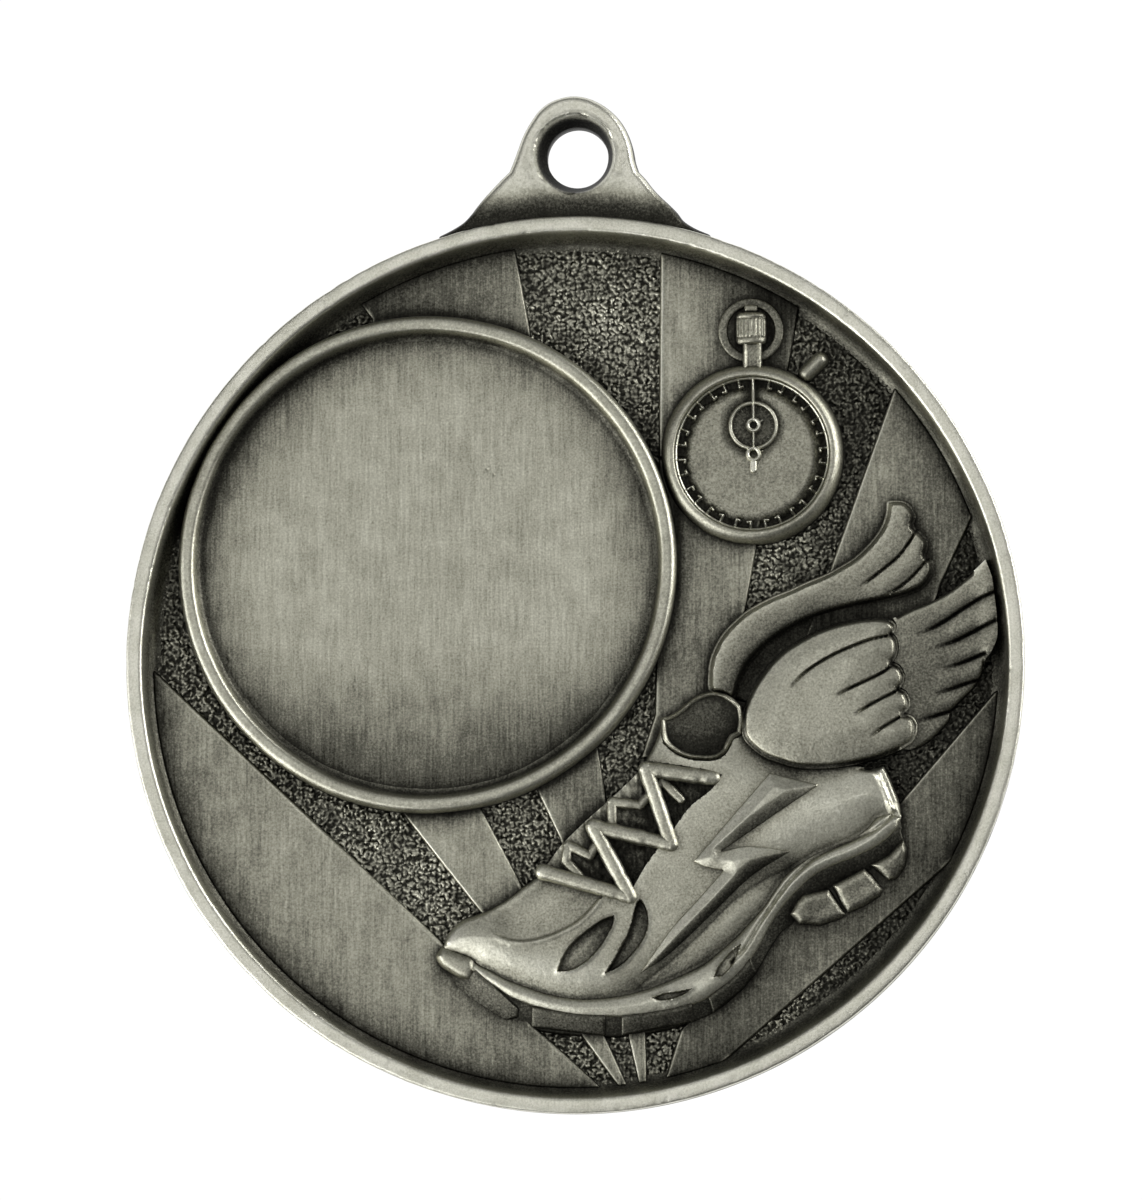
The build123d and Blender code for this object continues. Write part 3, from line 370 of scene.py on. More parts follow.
def within(p, poly):
    """Even-odd test of points against one closed loop."""
    p = np.asarray(p, float)
    a = np.asarray(poly, float)
    b = np.roll(a, -1, 0)
    order = np.argsort(p[:, 1], kind="stable")
    x, z = p[order, 0], p[order, 1]
    zlo, zhi = np.minimum(a[:, 1], b[:, 1]), np.maximum(a[:, 1], b[:, 1])
    i0 = np.searchsorted(z, zlo, "left")
    i1 = np.searchsorted(z, zhi, "left")
    odd = np.zeros(len(p), bool)
    for k in np.nonzero(i1 > i0)[0]:
        s = slice(i0[k], i1[k])
        xi = a[k, 0] + (z[s] - a[k, 1]) * (b[k, 0] - a[k, 0]) / (b[k, 1] - a[k, 1])
        odd[s] ^= x[s] < xi
    out = np.empty(len(p), bool)
    out[order] = odd
    return out


class Shape:
    """Closed loops, the first outside and the rest holes, with inside test and distance to the edge."""

    def __init__(self, *loops):
        self.loops = [np.asarray(q, float) for q in loops]
        self.a = np.vstack(self.loops)
        self.b = np.vstack([np.roll(q, -1, 0) for q in self.loops])

    def inside(self, p):
        r = within(p, self.loops[0])
        for q in self.loops[1:]:
            r ^= within(p, q)
        return r

    def dist(self, p):
        return seg_dist(p, self.a, self.b)

    def depth(self, p):
        """Distance inwards from the edge, nought outside."""
        p = np.asarray(p, float)
        out = np.zeros(len(p))
        lo, hi = self.a.min(0), self.a.max(0)
        k = np.all((p >= lo) & (p <= hi), 1)
        if k.any():
            q = p[k]
            out[k] = np.where(self.inside(q), self.dist(q), 0)
        return out


class Strokes:
    """Union of round-ended strokes along chains of points."""

    def __init__(self, chains, r, step=0.06):
        self.r = r
        self.seg = [(c[i], c[i + 1]) for c in chains for i in range(len(c) - 1)]
        self.loops = [capsule(a, b, r, step) for a, b in self.seg]
        self.a = np.array([s[0] for s in self.seg], float)
        self.b = np.array([s[1] for s in self.seg], float)

    def inside(self, p):
        return seg_dist(p, self.a, self.b) < self.r * 0.9999

    def dist(self, p):
        return np.abs(self.r - seg_dist(p, self.a, self.b))


def smooth(a, b, t):
    t = np.clip((t - a) / (b - a), 0, 1)
    return t * t * (3 - 2 * t)


def roll(d, w, p=2.2):
    """Rounded edge: nought at the outline, one at w inside it."""
    return (1 - (1 - np.clip(d / w, 0, 1)) ** p) ** (1 / p)


def pillow(d, w):
    t = np.clip(d / w, 0, 1)
    return 1 - (1 - t) ** 2


def hash2(i, j, seed):
    """Repeatable numbers in 0..1 from whole numbers."""
    v = np.sin(i * 127.1 + j * 311.7 + seed * 74.7) * 43758.5453
    return v - np.floor(v)


def vnoise(x, z, seed=0):
    """Smooth value noise in -1..1."""
    i, j = np.floor(x), np.floor(z)
    u, v = x - i, z - j
    u, v = u * u * u * (u * (u * 6 - 15) + 10), v * v * v * (v * (v * 6 - 15) + 10)
    g = lambda a, b: hash2(i + a, j + b, seed)
    return 2 * ((g(0, 0) * (1 - u) + g(1, 0) * u) * (1 - v) + (g(0, 1) * (1 - u) + g(1, 1) * u) * v) - 1


def pebbles(x, z, cell, seed=0):
    """Distance to the nearest point of a jittered lattice, in cells."""
    x, z = x / cell, z / cell
    i, j = np.floor(x), np.floor(z)
    best = np.full(x.shape, 9.0)
    for a in (-1, 0, 1):
        for b in (-1, 0, 1):
            px = i + a + 0.15 + 0.7 * hash2(i + a, j + b, seed)
            pz = j + b + 0.15 + 0.7 * hash2(i + a, j + b, seed + 5)
            best = np.minimum(best, np.hypot(x - px, z - pz))
    return best


# ---------------------------------------------------------------- meshes
PIECES = {}


def hexgrid(lo, hi, s, seed=1):
    xs = np.arange(lo[0], hi[0] + s, s)
    zs = np.arange(lo[1], hi[1] + s, s * 0.866)
    g = np.stack(np.meshgrid(xs, zs), 2)
    g[1::2, :, 0] += s / 2
    g = g.reshape(-1, 2)
    return g + np.stack([hash2(g[:, 0] * 31, g[:, 1] * 17, seed), hash2(g[:, 0] * 13, g[:, 1] * 41, seed)], 1) * s * 0.12


def plate(shape, cell, rows=(), extra=None, coarse=None):
    """Triangulated footprint: the outline, rows just inside it, and a lattice of points."""
    loops = shape.loops
    pts, edges, k = [], [], 0
    ring = []
    for q in loops:
        n = len(q)
        edges += [(k + i, k + (i + 1) % n) for i in range(n)]
        k += n
        pts.append(q)
        t = np.roll(q, -1, 0) - np.roll(q, 1, 0)
        nn = np.stack([-t[:, 1], t[:, 0]], 1) / np.maximum(np.hypot(t[:, 0], t[:, 1])[:, None], 1e-9)
        for r in rows:
            for sgn in (1, -1):
                ring.append((q + nn * r * sgn, r))
    free = []
    if ring:
        c = np.vstack([q for q, r in ring])
        rr = np.concatenate([np.full(len(q), r) for q, r in ring])
        ok = shape.inside(c)
        c, rr = c[ok], rr[ok]
        free.append(c[shape.dist(c) > 0.9 * rr])
    allq = np.vstack(loops)
    lo, hi = allq.min(0), allq.max(0)
    g = hexgrid(lo, hi, cell)
    g = g[shape.inside(g)]
    if coarse is not None:
        g = g[coarse(g)]
    edge = (rows[-1] if rows else 0) + 0.55 * cell
    g = g[shape.dist(g) > edge]
    free.append(g)
    if extra is not None and len(extra):
        e = extra[shape.inside(extra)]
        free.append(e[shape.dist(e) > 0.3 * cell])
    p = np.vstack(pts + free)
    res = delaunay_2d_cdt([Vector(v) for v in p.tolist()], edges, [], 0, 1e-6, False)
    v = np.array([tuple(c) for c in res[0]])
    f = np.array(res[2], dtype=np.int64)
    c = v[f].mean(1)
    f = f[shape.inside(c)]
    area = (v[f[:, 1], 0] - v[f[:, 0], 0]) * (v[f[:, 2], 1] - v[f[:, 0], 1]) - (
        v[f[:, 2], 0] - v[f[:, 0], 0]
    ) * (v[f[:, 1], 1] - v[f[:, 0], 1])
    f = f[np.abs(area) > 1e-9]
    area = area[np.abs(area) > 1e-9]
    f[area < 0] = f[area < 0][:, ::-1]
    used = np.unique(f)
    remap = np.full(len(v), -1)
    remap[used] = np.arange(len(used))
    return v[used], remap[f]


def border(f):
    """Directed edges that only one triangle uses."""
    e = np.vstack([f[:, [0, 1]], f[:, [1, 2]], f[:, [2, 0]]])
    n = int(f.max()) + 1
    key = e[:, 0] * n + e[:, 1]
    rev = e[:, 1] * n + e[:, 0]
    return e[~np.isin(key, rev)]


def solid(name, shape, cell, top, bottom=1.62, rows=(0.012, 0.035, 0.07, 0.12, 0.18, 0.26), mirror=None, extra=None, coarse=None, add=True):
    """Closed height-field piece: top surface, short wall and flat underside."""
    v, f = plate(shape, cell, rows, extra, coarse)
    d = shape.dist(v)
    be = border(f)
    bv = np.unique(be)
    d[bv] = 0
    h = top(v[:, 0], v[:, 1], d, v)
    n = len(v)
    up = np.column_stack([v, h])
    if mirror is not None:
        dn = np.column_stack([v, mirror(v[:, 0], v[:, 1], d, v)])
        verts = np.vstack([up, dn])
        faces = [f, f[:, ::-1] + n, np.column_stack([be[:, 1], be[:, 0], be[:, 0] + n]), np.column_stack([be[:, 1], be[:, 0] + n, be[:, 1] + n])]
    else:
        lo = np.full(n, -1)
        lo[bv] = np.arange(len(bv))
        low = lo[be]
        pv = v[bv]
        res = delaunay_2d_cdt([Vector(c) for c in pv.tolist()], low.tolist(), [], 0, 1e-7, False)
        cv = np.array([tuple(c) for c in res[0]])
        cf = np.array(res[2], dtype=np.int64)
        if len(cv) != len(pv):
            raise RuntimeError(name + ": underside gained points")
        cen = cv[cf].mean(1)
        cf = cf[shape.inside(cen)]
        area = (cv[cf[:, 1], 0] - cv[cf[:, 0], 0]) * (cv[cf[:, 2], 1] - cv[cf[:, 0], 1]) - (
            cv[cf[:, 2], 0] - cv[cf[:, 0], 0]
        ) * (cv[cf[:, 1], 1] - cv[cf[:, 0], 1])
        cf[area > 0] = cf[area > 0][:, ::-1]
        verts = np.vstack([up, np.column_stack([pv, np.full(len(pv), bottom)])])
        faces = [f, cf + n, np.column_stack([be[:, 1], be[:, 0], low[:, 0] + n]), np.column_stack([be[:, 1], low[:, 0] + n, low[:, 1] + n])]
    out = (verts, np.vstack(faces))
    if add:
        PIECES.setdefault(name, []).append(out)
    return out


def turned(name, cx, cz, profile, steps, shift=None, add=True):
    """Closed body of revolution about the disc's normal: profile of (radius, height), radius nought closes it."""
    prof = np.array(profile, float)
    t = np.linspace(0, 2 * math.pi, steps, endpoint=False)
    verts, rows = [], []
    k = 0
    for r, h in prof:
        if r == 0:
            verts.append(np.array([[cx, cz, h]]))
            rows.append(np.full(steps, k))
            k += 1
        else:
            verts.append(np.column_stack([cx + r * np.cos(t), cz + r * np.sin(t), np.full(steps, h)]))
            rows.append(np.arange(k, k + steps))
            k += steps
    v = np.vstack(verts)
    if shift is not None:
        v = shift(v)
    f = []
    nxt = np.roll(np.arange(steps), -1)
    loopn = len(rows) if prof[0, 0] != 0 and prof[-1, 0] != 0 else len(rows) - 1
    for i in range(loopn):
        a, b = rows[i], rows[(i + 1) % len(rows)]
        f.append(np.column_stack([a, a[nxt], b[nxt]]))
        f.append(np.column_stack([a, b[nxt], b]))
    f = np.vstack(f)
    f = f[(f[:, 0] != f[:, 1]) & (f[:, 1] != f[:, 2]) & (f[:, 0] != f[:, 2])]
    out = (v, f)
    if add:
        PIECES.setdefault(name, []).append(out)
    return out


class Both:
    """Overlap of shapes."""

    def __init__(self, *shapes):
        self.s = shapes
        self.loops = [q for s in shapes for q in s.loops]

    def inside(self, p):
        r = self.s[0].inside(p)
        for s in self.s[1:]:
            r &= s.inside(p)
        return r

    def dist(self, p):
        r = self.s[0].dist(p)
        for s in self.s[1:]:
            r = np.minimum(r, s.dist(p))
        return r


class Cut:
    """First shape less the second."""

    def __init__(self, a, b):
        self.x, self.y = a, b
        self.loops = a.loops + b.loops

    def inside(self, p):
        return self.x.inside(p) & ~self.y.inside(p)

    def dist(self, p):
        return np.minimum(self.x.dist(p), self.y.dist(p))


def rough(x, z, seed=0, fine=0.004, broad=0.008):
    """Slight unevenness of a cast and tumbled surface."""
    return (
        fine * vnoise(x / 0.22, z / 0.22, seed)
        + broad * vnoise(x / 0.9, z / 0.9, seed + 1)
        + broad * vnoise(x / 2.3, z / 2.3, seed + 2)
    )


def groove(v, points, w=0.085, depth=0.26, soft=0.07, sw=0.38, taper=0.9, end=0.0):
    """Narrow cut between two feathers, shallow where it starts."""
    c = curve(points, 0.1)
    d = line_dist(v, c)
    s = smooth(0, taper, np.hypot(v[:, 0] - c[0, 0], v[:, 1] - c[0, 1]))
    s = 0.25 + 0.75 * s
    if end:
        s *= smooth(0, end, np.hypot(v[:, 0] - c[-1, 0], v[:, 1] - c[-1, 1]))
    return s * (depth * np.clip(1 - d / w, 0, 1) ** 0.8 + soft * np.exp(-((d / sw) ** 2)))


FIELD = Shape(circle(0, 0, 23.62, 0.12))
BEZEL_C = (-8.21, 5.61)
WATCH_C = (9.92, 11.68)
SUB_C = (9.99, 13.27)
PIV1, PIV2 = (9.99, 13.30), (9.99, 11.67)
upper = Shape(loop(SHOE_UPPER))
throat = Shape(loop(THROAT))
collar = Shape(loop(COLLAR))
lining = Shape(loop(LINING))
flash = Shape(loop(FLASH))
vent1, vent2 = Shape(loop(VENT1)), Shape(loop(VENT2))
midsole = Shape(loop(MIDSOLE))
outsole = Shape(loop(OUTSOLE))
toe = loop(BUMPER)
toe = (toe - toe.mean(0)) * 1.32 + toe.mean(0) + [0.0, -0.1]
toe = curve([*toe[:: max(1, len(toe) // 9)], toe[0]], 0.08)[:-1]
bumper = Shape(toe)
slot1, slot2 = Shape(loop(SLOT1)), Shape(loop(SLOT2))
wing_rear = Shape(loop(WING_REAR))
covert = Shape(loop(COVERT))
primaries = Shape(loop(PRIMARIES))

def beside(v, shape, w=0.32):
    """One along the border shared with a neighbour, falling to nought at w from it."""
    return smooth(w, 0.04, np.where(shape.inside(v), 0, shape.dist(v)))


def along(area_, *items):
    """Points that follow the creases of an area: shape, offsets."""
    out = []
    for shape, offsets in items:
        for q in shape.loops:
            t = np.roll(q, -1, 0) - np.roll(q, 1, 0)
            n = np.column_stack([-t[:, 1], t[:, 0]]) / np.maximum(np.hypot(t[:, 0], t[:, 1]), 1e-9)[:, None]
            out += [q + n * o for o in offsets]
    p = np.vstack(out)
    return p[area_.depth(p) > 0.05]


EDGE = (0.01, 0.03, 0.06, 0.1, 0.15, 0.21, 0.28)

# ------------------------------------------------ smooth rays
RAYS = dict(RAYS)
RAYS["ray_watch_top"] = [(4.78, 23.05), (4.80, 26.0), (13.67, 26.02), (12.56, 19.75), (11.07, 11.5), (4.66, 11.5)]
RAYS["ray_watch_foot"] = [(4.66, 11.5), (11.07, 11.5), (9.71, 3.93), (8.93, -0.82), (6.43, -5.29), (3.64, -5.29), (4.44, -2.78)]
ray_shapes = {}
for k, (name, pts) in enumerate(RAYS.items()):
    pts = np.array(pts, float)
    ring = np.vstack([curve([pts[i], pts[(i + 1) % len(pts)]], 0.12)[:-1] for i in range(len(pts))])
    edge = Shape(ring)
    ray_shapes[name] = edge
    shape = Both(edge, FIELD)

    def top(x, z, d, v, edge=edge, k=k):
        e = edge.dist(v)
        bead = 0.035 * np.exp(-(((e - 0.15) / 0.07) ** 2))
        return 1.72 + 0.33 * roll(np.minimum(d, e), 0.15, 2.0) + bead * (d > 0) + rough(x, z, 40 + k, 0.002, 0.004) * (d > 0.1)

    solid(name, shape, 0.2, top, rows=(0.012, 0.035, 0.07, 0.11, 0.15, 0.2, 0.3))


# ------------------------------------------------ hammered ground
def hidden(p):
    """Points of the ground that something else covers."""
    r = np.hypot(p[:, 0] - BEZEL_C[0], p[:, 1] - BEZEL_C[1]) < 13.75
    r |= np.hypot(p[:, 0] - WATCH_C[0], p[:, 1] - WATCH_C[1]) < 4.9
    for s in [*ray_shapes.values(), upper, covert, wing_rear, midsole, outsole, primaries]:
        r |= s.depth(p) > 0.12
    return r


def ground_points(p):
    h = hidden(p)
    keep = ~h
    keep |= hash2(p[:, 0] * 91, p[:, 1] * 57, 3) < 0.012
    return keep


def ground_top(x, z, d, v):
    wx = x + 0.09 * vnoise(x / 0.25, z / 0.25, 8)
    wz = z + 0.09 * vnoise(x / 0.25, z / 0.25, 9)
    f = pebbles(wx, wz, 0.24, 2)
    g = pebbles(wx, wz, 0.17, 6)
    bump = 0.13 * np.clip(1 - (f / 0.58) ** 2, 0, 1) ** 0.8 + 0.05 * np.clip(1 - (g / 0.5) ** 2, 0, 1)
    bump *= 0.95 + 0.2 * vnoise(x / 0.8, z / 0.8, 4)
    bump *= 1 - smooth(2.7, 2.2, covert.dist(v) + wing_rear.dist(v)) * (x > 3)
    return 1.72 + bump + 0.014 * vnoise(x / 0.12, z / 0.12, 12)


solid("stippled_ground", FIELD, 0.074, ground_top, bottom=1.5, rows=(), coarse=ground_points)

# ------------------------------------------------ insert recess
NICKS = [(-19.45, 0.35, 0.16, 0.09), (-4.9, 10.9, 0.1, 0.04), (-4.5, 10.6, 0.08, 0.04), (-4.2, 11.0, 0.07, 0.03), (-12.3, -1.2, 0.07, 0.03),
         (-1.6, 2.4, 0.07, 0.03), (-6.4, -4.3, 0.06, 0.02), (-10.6, 14.2, 0.06, 0.02), (-15.9, 8.3, 0.06, 0.02), (-3.0, 6.3, 0.05, 0.02)]


def seat_top(x, z, d, v):
    h = 2.1 + rough(x, z, 90, 0.0012, 0.0035)
    for nx, nz, r, a in NICKS:
        h = h - a * np.exp(-(((x - nx) / r) ** 2 + ((z - nz) / r) ** 2)) + 0.5 * a * np.exp(-(((x - nx - 1.2 * r) / r) ** 2 + ((z - nz - r) / r) ** 2))
    return h


near = np.vstack([hexgrid((n[0] - 0.35, n[1] - 0.35), (n[0] + 0.35, n[1] + 0.35), 0.05) for n in NICKS])
solid("insert_seat", Shape(circle(*BEZEL_C, 12.82, 0.1)), 0.19, seat_top, rows=(0.1, 0.25), extra=near)

turned("insert_bezel", *BEZEL_C, [
    (13.97, 1.62), (13.97, 1.8), (13.955, 2.0), (13.94, 2.2), (13.92, 2.4), (13.88, 2.56), (13.82, 2.69), (13.74, 2.79), (13.64, 2.855), (13.54, 2.88),
    (13.42, 2.89), (13.3, 2.882), (13.19, 2.855), (13.1, 2.79), (13.05, 2.69), (12.99, 2.57), (12.94, 2.44), (12.88, 2.31), (12.81, 2.21), (12.72, 2.14),
    (12.6, 2.105), (12.48, 2.09), (12.4, 2.07), (12.4, 1.62)], 720,
    shift=lambda v: v + np.column_stack([0.012 * vnoise(v[:, 1] / 1.7, v[:, 0] / 1.7, 3), 0.012 * vnoise(v[:, 0] / 1.7, v[:, 1] / 1.7, 5), (v[:, 2] > 2.3) * (0.008 * vnoise(v[:, 0] / 0.8, v[:, 1] / 0.8, 6) + 0.004 * vnoise(v[:, 0] / 0.2, v[:, 1] / 0.2, 7))]))

# ------------------------------------------------ stopwatch
turned("watch_case", *WATCH_C, [
    (5.14, 1.62), (5.13, 1.8), (5.1, 1.98), (5.05, 2.14), (4.98, 2.3), (4.89, 2.44), (4.79, 2.56), (4.68, 2.65), (4.58, 2.71), (4.48, 2.735),
    (4.4, 2.72), (4.35, 2.66), (4.32, 2.55), (4.3, 2.4), (4.28, 2.2), (4.24, 2.06), (4.15, 2.0), (4.15, 1.62)], 360,
    shift=lambda v: v + np.column_stack([0 * v[:, 0], 0 * v[:, 0], (v[:, 2] > 2.1) * (0.01 * vnoise(v[:, 0] / 0.6, v[:, 1] / 0.6, 16) + 0.005 * vnoise(v[:, 0] / 0.18, v[:, 1] / 0.18, 17))]))


def dial_top(x, z, d, v):
    r = np.hypot(x - WATCH_C[0], z - WATCH_C[1])
    s = np.hypot(x - SUB_C[0], z - SUB_C[1])
    dome = smooth(4.05 + 0.12 * vnoise(x / 0.3, z / 0.3, 61), 3.3, r) * (0.35 + 0.65 * smooth(1.2, 2.0, s))
    dome *= 1 - 0.7 * (1 - smooth(0.1, 0.75, np.abs(x - 9.99))) * smooth(13.8, 14.9, z)
    return 2.0 + 0.26 * dome + 0.03 * np.clip(1 - (r / 3.6) ** 2, 0, 1) + rough(x, z, 60, 0.003, 0.005)


solid("watch_dial", Shape(circle(*WATCH_C, 4.27, 0.08)), 0.09, dial_top, rows=(0.05,))

turned("watch_minute_track", *WATCH_C, [(4.33, 1.95), (4.33, 2.3), (4.31, 2.42), (4.26, 2.47), (4.2, 2.44), (4.17, 2.35), (4.16, 1.95)], 240)
for i in range(30):
    a = math.radians(90 - 1.5 - 12 * i)
    ux, uz = math.cos(a), math.sin(a)
    r1 = 3.74 + 0.05 * float(hash2(np.array(float(i)), np.array(2.0), 1))
    p0 = (WATCH_C[0] + 4.26 * ux, WATCH_C[1] + 4.26 * uz)
    p1 = (WATCH_C[0] + r1 * ux, WATCH_C[1] + r1 * uz)
    s = -1 if i % 2 else 1
    p2 = (p1[0] + 0.17 * (-uz) * s + 0.04 * ux, p1[1] + 0.17 * ux * s + 0.04 * uz)
    if i == 0:
        continue
    st = Strokes([[p0, p1, p2]], 0.09, 0.03)
    solid("watch_minute_track", st, 0.05, lambda x, z, d, v: 2.0 + 0.5 * roll(d, 0.09, 1.8), bottom=1.95, rows=(0.012, 0.035))

turned("watch_subdial", *SUB_C, [(1.41, 1.95), (1.4, 2.25), (1.37, 2.36), (1.32, 2.42), (1.27, 2.435), (1.22, 2.41), (1.18, 2.34), (1.16, 2.2), (1.15, 1.95)], 160)
for i in range(24):
    a = math.radians(15 * i + 7)
    ux, uz = math.cos(a), math.sin(a)
    st = Strokes([[(SUB_C[0] + 1.13 * ux, SUB_C[1] + 1.13 * uz), (SUB_C[0] + 1.0 * ux, SUB_C[1] + 1.0 * uz)]], 0.032, 0.02)
    solid("watch_subdial", st, 0.05, lambda x, z, d, v: 2.03 + 0.16 * roll(d, 0.03, 2.0), bottom=1.95, rows=(0.01,))

for (px, pz), ro, ri in ((PIV1, 0.44, 0.19), (PIV2, 0.46, 0.2)):
    m = (ro + ri) / 2
    turned("watch_hand", px, pz, [(ro, 1.95), (ro, 2.3), (ro - 0.03, 2.42), (m + 0.04, 2.5), (m - 0.03, 2.5), (ri + 0.02, 2.42), (ri, 2.3), (ri, 1.95)], 48)
for a, b, r in (((9.97, 15.9), (9.99, 13.66), 0.115), ((9.99, 12.95), (9.99, 12.05), 0.09), ((9.99, 11.25), (9.99, 10.8), 0.23), ((10.3, 13.45), (10.5, 13.56), 0.06), ((10.34, 11.78), (10.5, 11.84), 0.05)):
    solid("watch_hand", Strokes([[a, b]], r, 0.035), 0.05, lambda x, z, d, v, r=r: 2.0 + 0.46 * roll(d, min(r, 0.12), 2.0), bottom=1.95, rows=(0.012, 0.03, 0.05) if r < 0.12 else (0.012, 0.03, 0.06, 0.1))


def rounded_box(cx, cz, hx, hz, r, step=0.05):
    out = []
    for sx, sz, a0 in ((1, 1, 0), (-1, 1, 90), (-1, -1, 180), (1, -1, 270)):
        t = np.radians(np.linspace(a0, a0 + 90, 8))
        out.append(np.stack([cx + sx * (hx - r) + r * np.cos(t), cz + sz * (hz - r) + r * np.sin(t)], 1))
    p = np.vstack(out)
    q = []
    for i in range(len(p)):
        a, b = p[i], p[(i + 1) % len(p)]
        n = max(1, int(np.hypot(*(b - a)) / step))
        q.append(a + (b - a) * (np.arange(n) / n)[:, None])
    return Shape(np.vstack(q))


def crown_top(x, z, d, v):
    u = (x - 9.87) / 0.97
    barrel = np.sqrt(np.clip(1 - u**2, 0, 1))
    knurl = 0.03 * np.cos(np.arcsin(np.clip(u, -1, 1)) * 26) * smooth(18.2, 18.3, z) * smooth(19.3, 19.2, z)
    band = -0.05 * np.exp(-(((z - 18.22) / 0.05) ** 2)) - 0.06 * np.exp(-(((z - 19.3) / 0.06) ** 2))
    return 1.85 + (0.2 + 0.6 * barrel**1.3 + knurl + band) * roll(d, 0.3)


solid("watch_crown", rounded_box(9.87, 18.72, 0.95, 0.98, 0.4), 0.045, crown_top, rows=(0.01, 0.03, 0.06, 0.1, 0.15))
solid("watch_crown", rounded_box(9.87, 19.86, 0.42, 0.26, 0.2), 0.07, lambda x, z, d, v: 1.85 + 0.55 * roll(d, 0.2), rows=(0.01, 0.03, 0.06, 0.1, 0.15))


def stem_top(x, z, d, v):
    e = np.abs(x - 9.94) / 0.58
    return 1.85 + (0.5 + 0.14 * np.exp(-(((e - 0.72) / 0.16) ** 2))) * roll(d, 0.12)


solid("watch_crown", rounded_box(9.94, 17.0, 0.58, 1.1, 0.1), 0.07, stem_top, rows=(0.01, 0.03, 0.06, 0.1))
turned("watch_bow", 9.86, 18.62, [(1.88, 1.62), (1.87, 1.95), (1.85, 2.08), (1.81, 2.18), (1.75, 2.24), (1.66, 2.25), (1.56, 2.24), (1.47, 2.25), (1.39, 2.23), (1.34, 2.17), (1.31, 2.08), (1.29, 1.95), (1.28, 1.62)], 200)


def pusher_top(x, z, d, v):
    return 1.8 + 0.78 * np.sqrt(np.clip(1 - (np.clip(0.5 - d, 0, 1) / 0.5) ** 2, 0, 1))


solid("watch_pusher", Strokes([[(12.95, 16.2), (13.7, 16.94)]], 0.5, 0.05), 0.07, pusher_top, rows=(0.006, 0.02, 0.045, 0.08, 0.13, 0.2))

# ------------------------------------------------ running shoe
toecap = curve(TOECAP, 0.1)
flank = curve(FLANK, 0.1)
low_line = curve(UPPER_LOW, 0.1)
HEEL_A = curve([(16.6, -5.8), (17.05, -6.75), (17.4, -7.6), (17.6, -8.25)], 0.1)
HEEL_B = curve([(17.05, -5.7), (17.5, -6.65), (17.85, -7.6)], 0.1)


def upper_top(x, z, d, v):
    h = 2.34 + 0.5 * pillow(d, 2.7) + rough(x, z, 20, 0.005, 0.008)
    h += 0.12 * np.exp(-(((x + 4.6) / 2.0) ** 2 + ((z + 15.6) / 1.1) ** 2))
    s = line_side(v, toecap)
    m = smooth(0.0, 0.16, s) * smooth(-5.0, -3.6, x) * smooth(2.6, 1.2, x) * (z > -16.2) * smooth(0.0, 0.6, d)
    h -= m * (0.1 + 0.13 * np.exp(-(((s - 0.9) / 0.9) ** 2)))
    h += 0.045 * np.exp(-(((s + 0.09) / 0.12) ** 2)) * smooth(-5.0, -4.0, x) * smooth(2.2, 1.2, x) * (z > -16.2)
    for vent in (vent1, vent2):
        e = vent.dist(v)
        q = vent.inside(v)
        h = np.where(q, h - 0.34 * roll(e, 0.16) + 0.05 * smooth(0.2, 0.7, e), h + 0.06 * np.exp(-((e / 0.13) ** 2)))
    dt = throat.depth(v)
    dc = collar.depth(v)
    h += 0.06 * np.exp(-(((line_dist(v, flank) - 0.1) / 0.12) ** 2)) * (dt == 0)
    g = line_dist(v, low_line)
    h -= 0.05 * np.clip(1 - g / 0.12, 0, 1) + 0.1 * np.exp(-((g / 0.55) ** 2))
    k = roll(dt, 0.12)
    h = h * (1 - k) + 2.1 * k
    k = roll(dc, 0.12)
    h = h * (1 - k) + 2.1 * k
    for c, a in ((HEEL_A, 0.15), (HEEL_B, 0.13)):
        h += a * np.clip(1 - line_dist(v, c) / 0.22, 0, 1) * (1 + 0.5 * vnoise(x / 0.3, z / 0.3, 33))
    fl = 1.75 + 0.58 * np.maximum(beside(v, midsole), beside(v, bumper))
    open_ = np.maximum(beside(v, covert), beside(v, wing_rear, 0.2))
    return fl + (h - fl) * roll(d + 2 * open_, 0.34, 2.3)


solid("shoe_upper", upper, 0.07, upper_top, rows=EDGE, extra=along(upper, (throat, (0, 0.04, -0.04, 0.12, -0.12)), (vent1, (0, 0.05, -0.05, 0.16, -0.16)), (vent2, (0, 0.05, -0.05, 0.16, -0.16)), (collar, (0, 0.05, -0.05, 0.12, -0.12))))


def throat_top(x, z, d, v):
    return 2.38 + 0.05 * vnoise(x / 0.35, z / 0.35, 25) + 0.04 * vnoise(x / 0.12, z / 0.5, 26)


solid("shoe_tongue", throat, 0.09, throat_top, rows=(0.05, 0.12))
rear = curve(LACE_REAR[:1], 0.1) if len(LACE_REAR) < 2 else None
REAR = [[LACE_REAR[i], LACE_REAR[i + 1]] for i in range(len(LACE_REAR) - 1)]


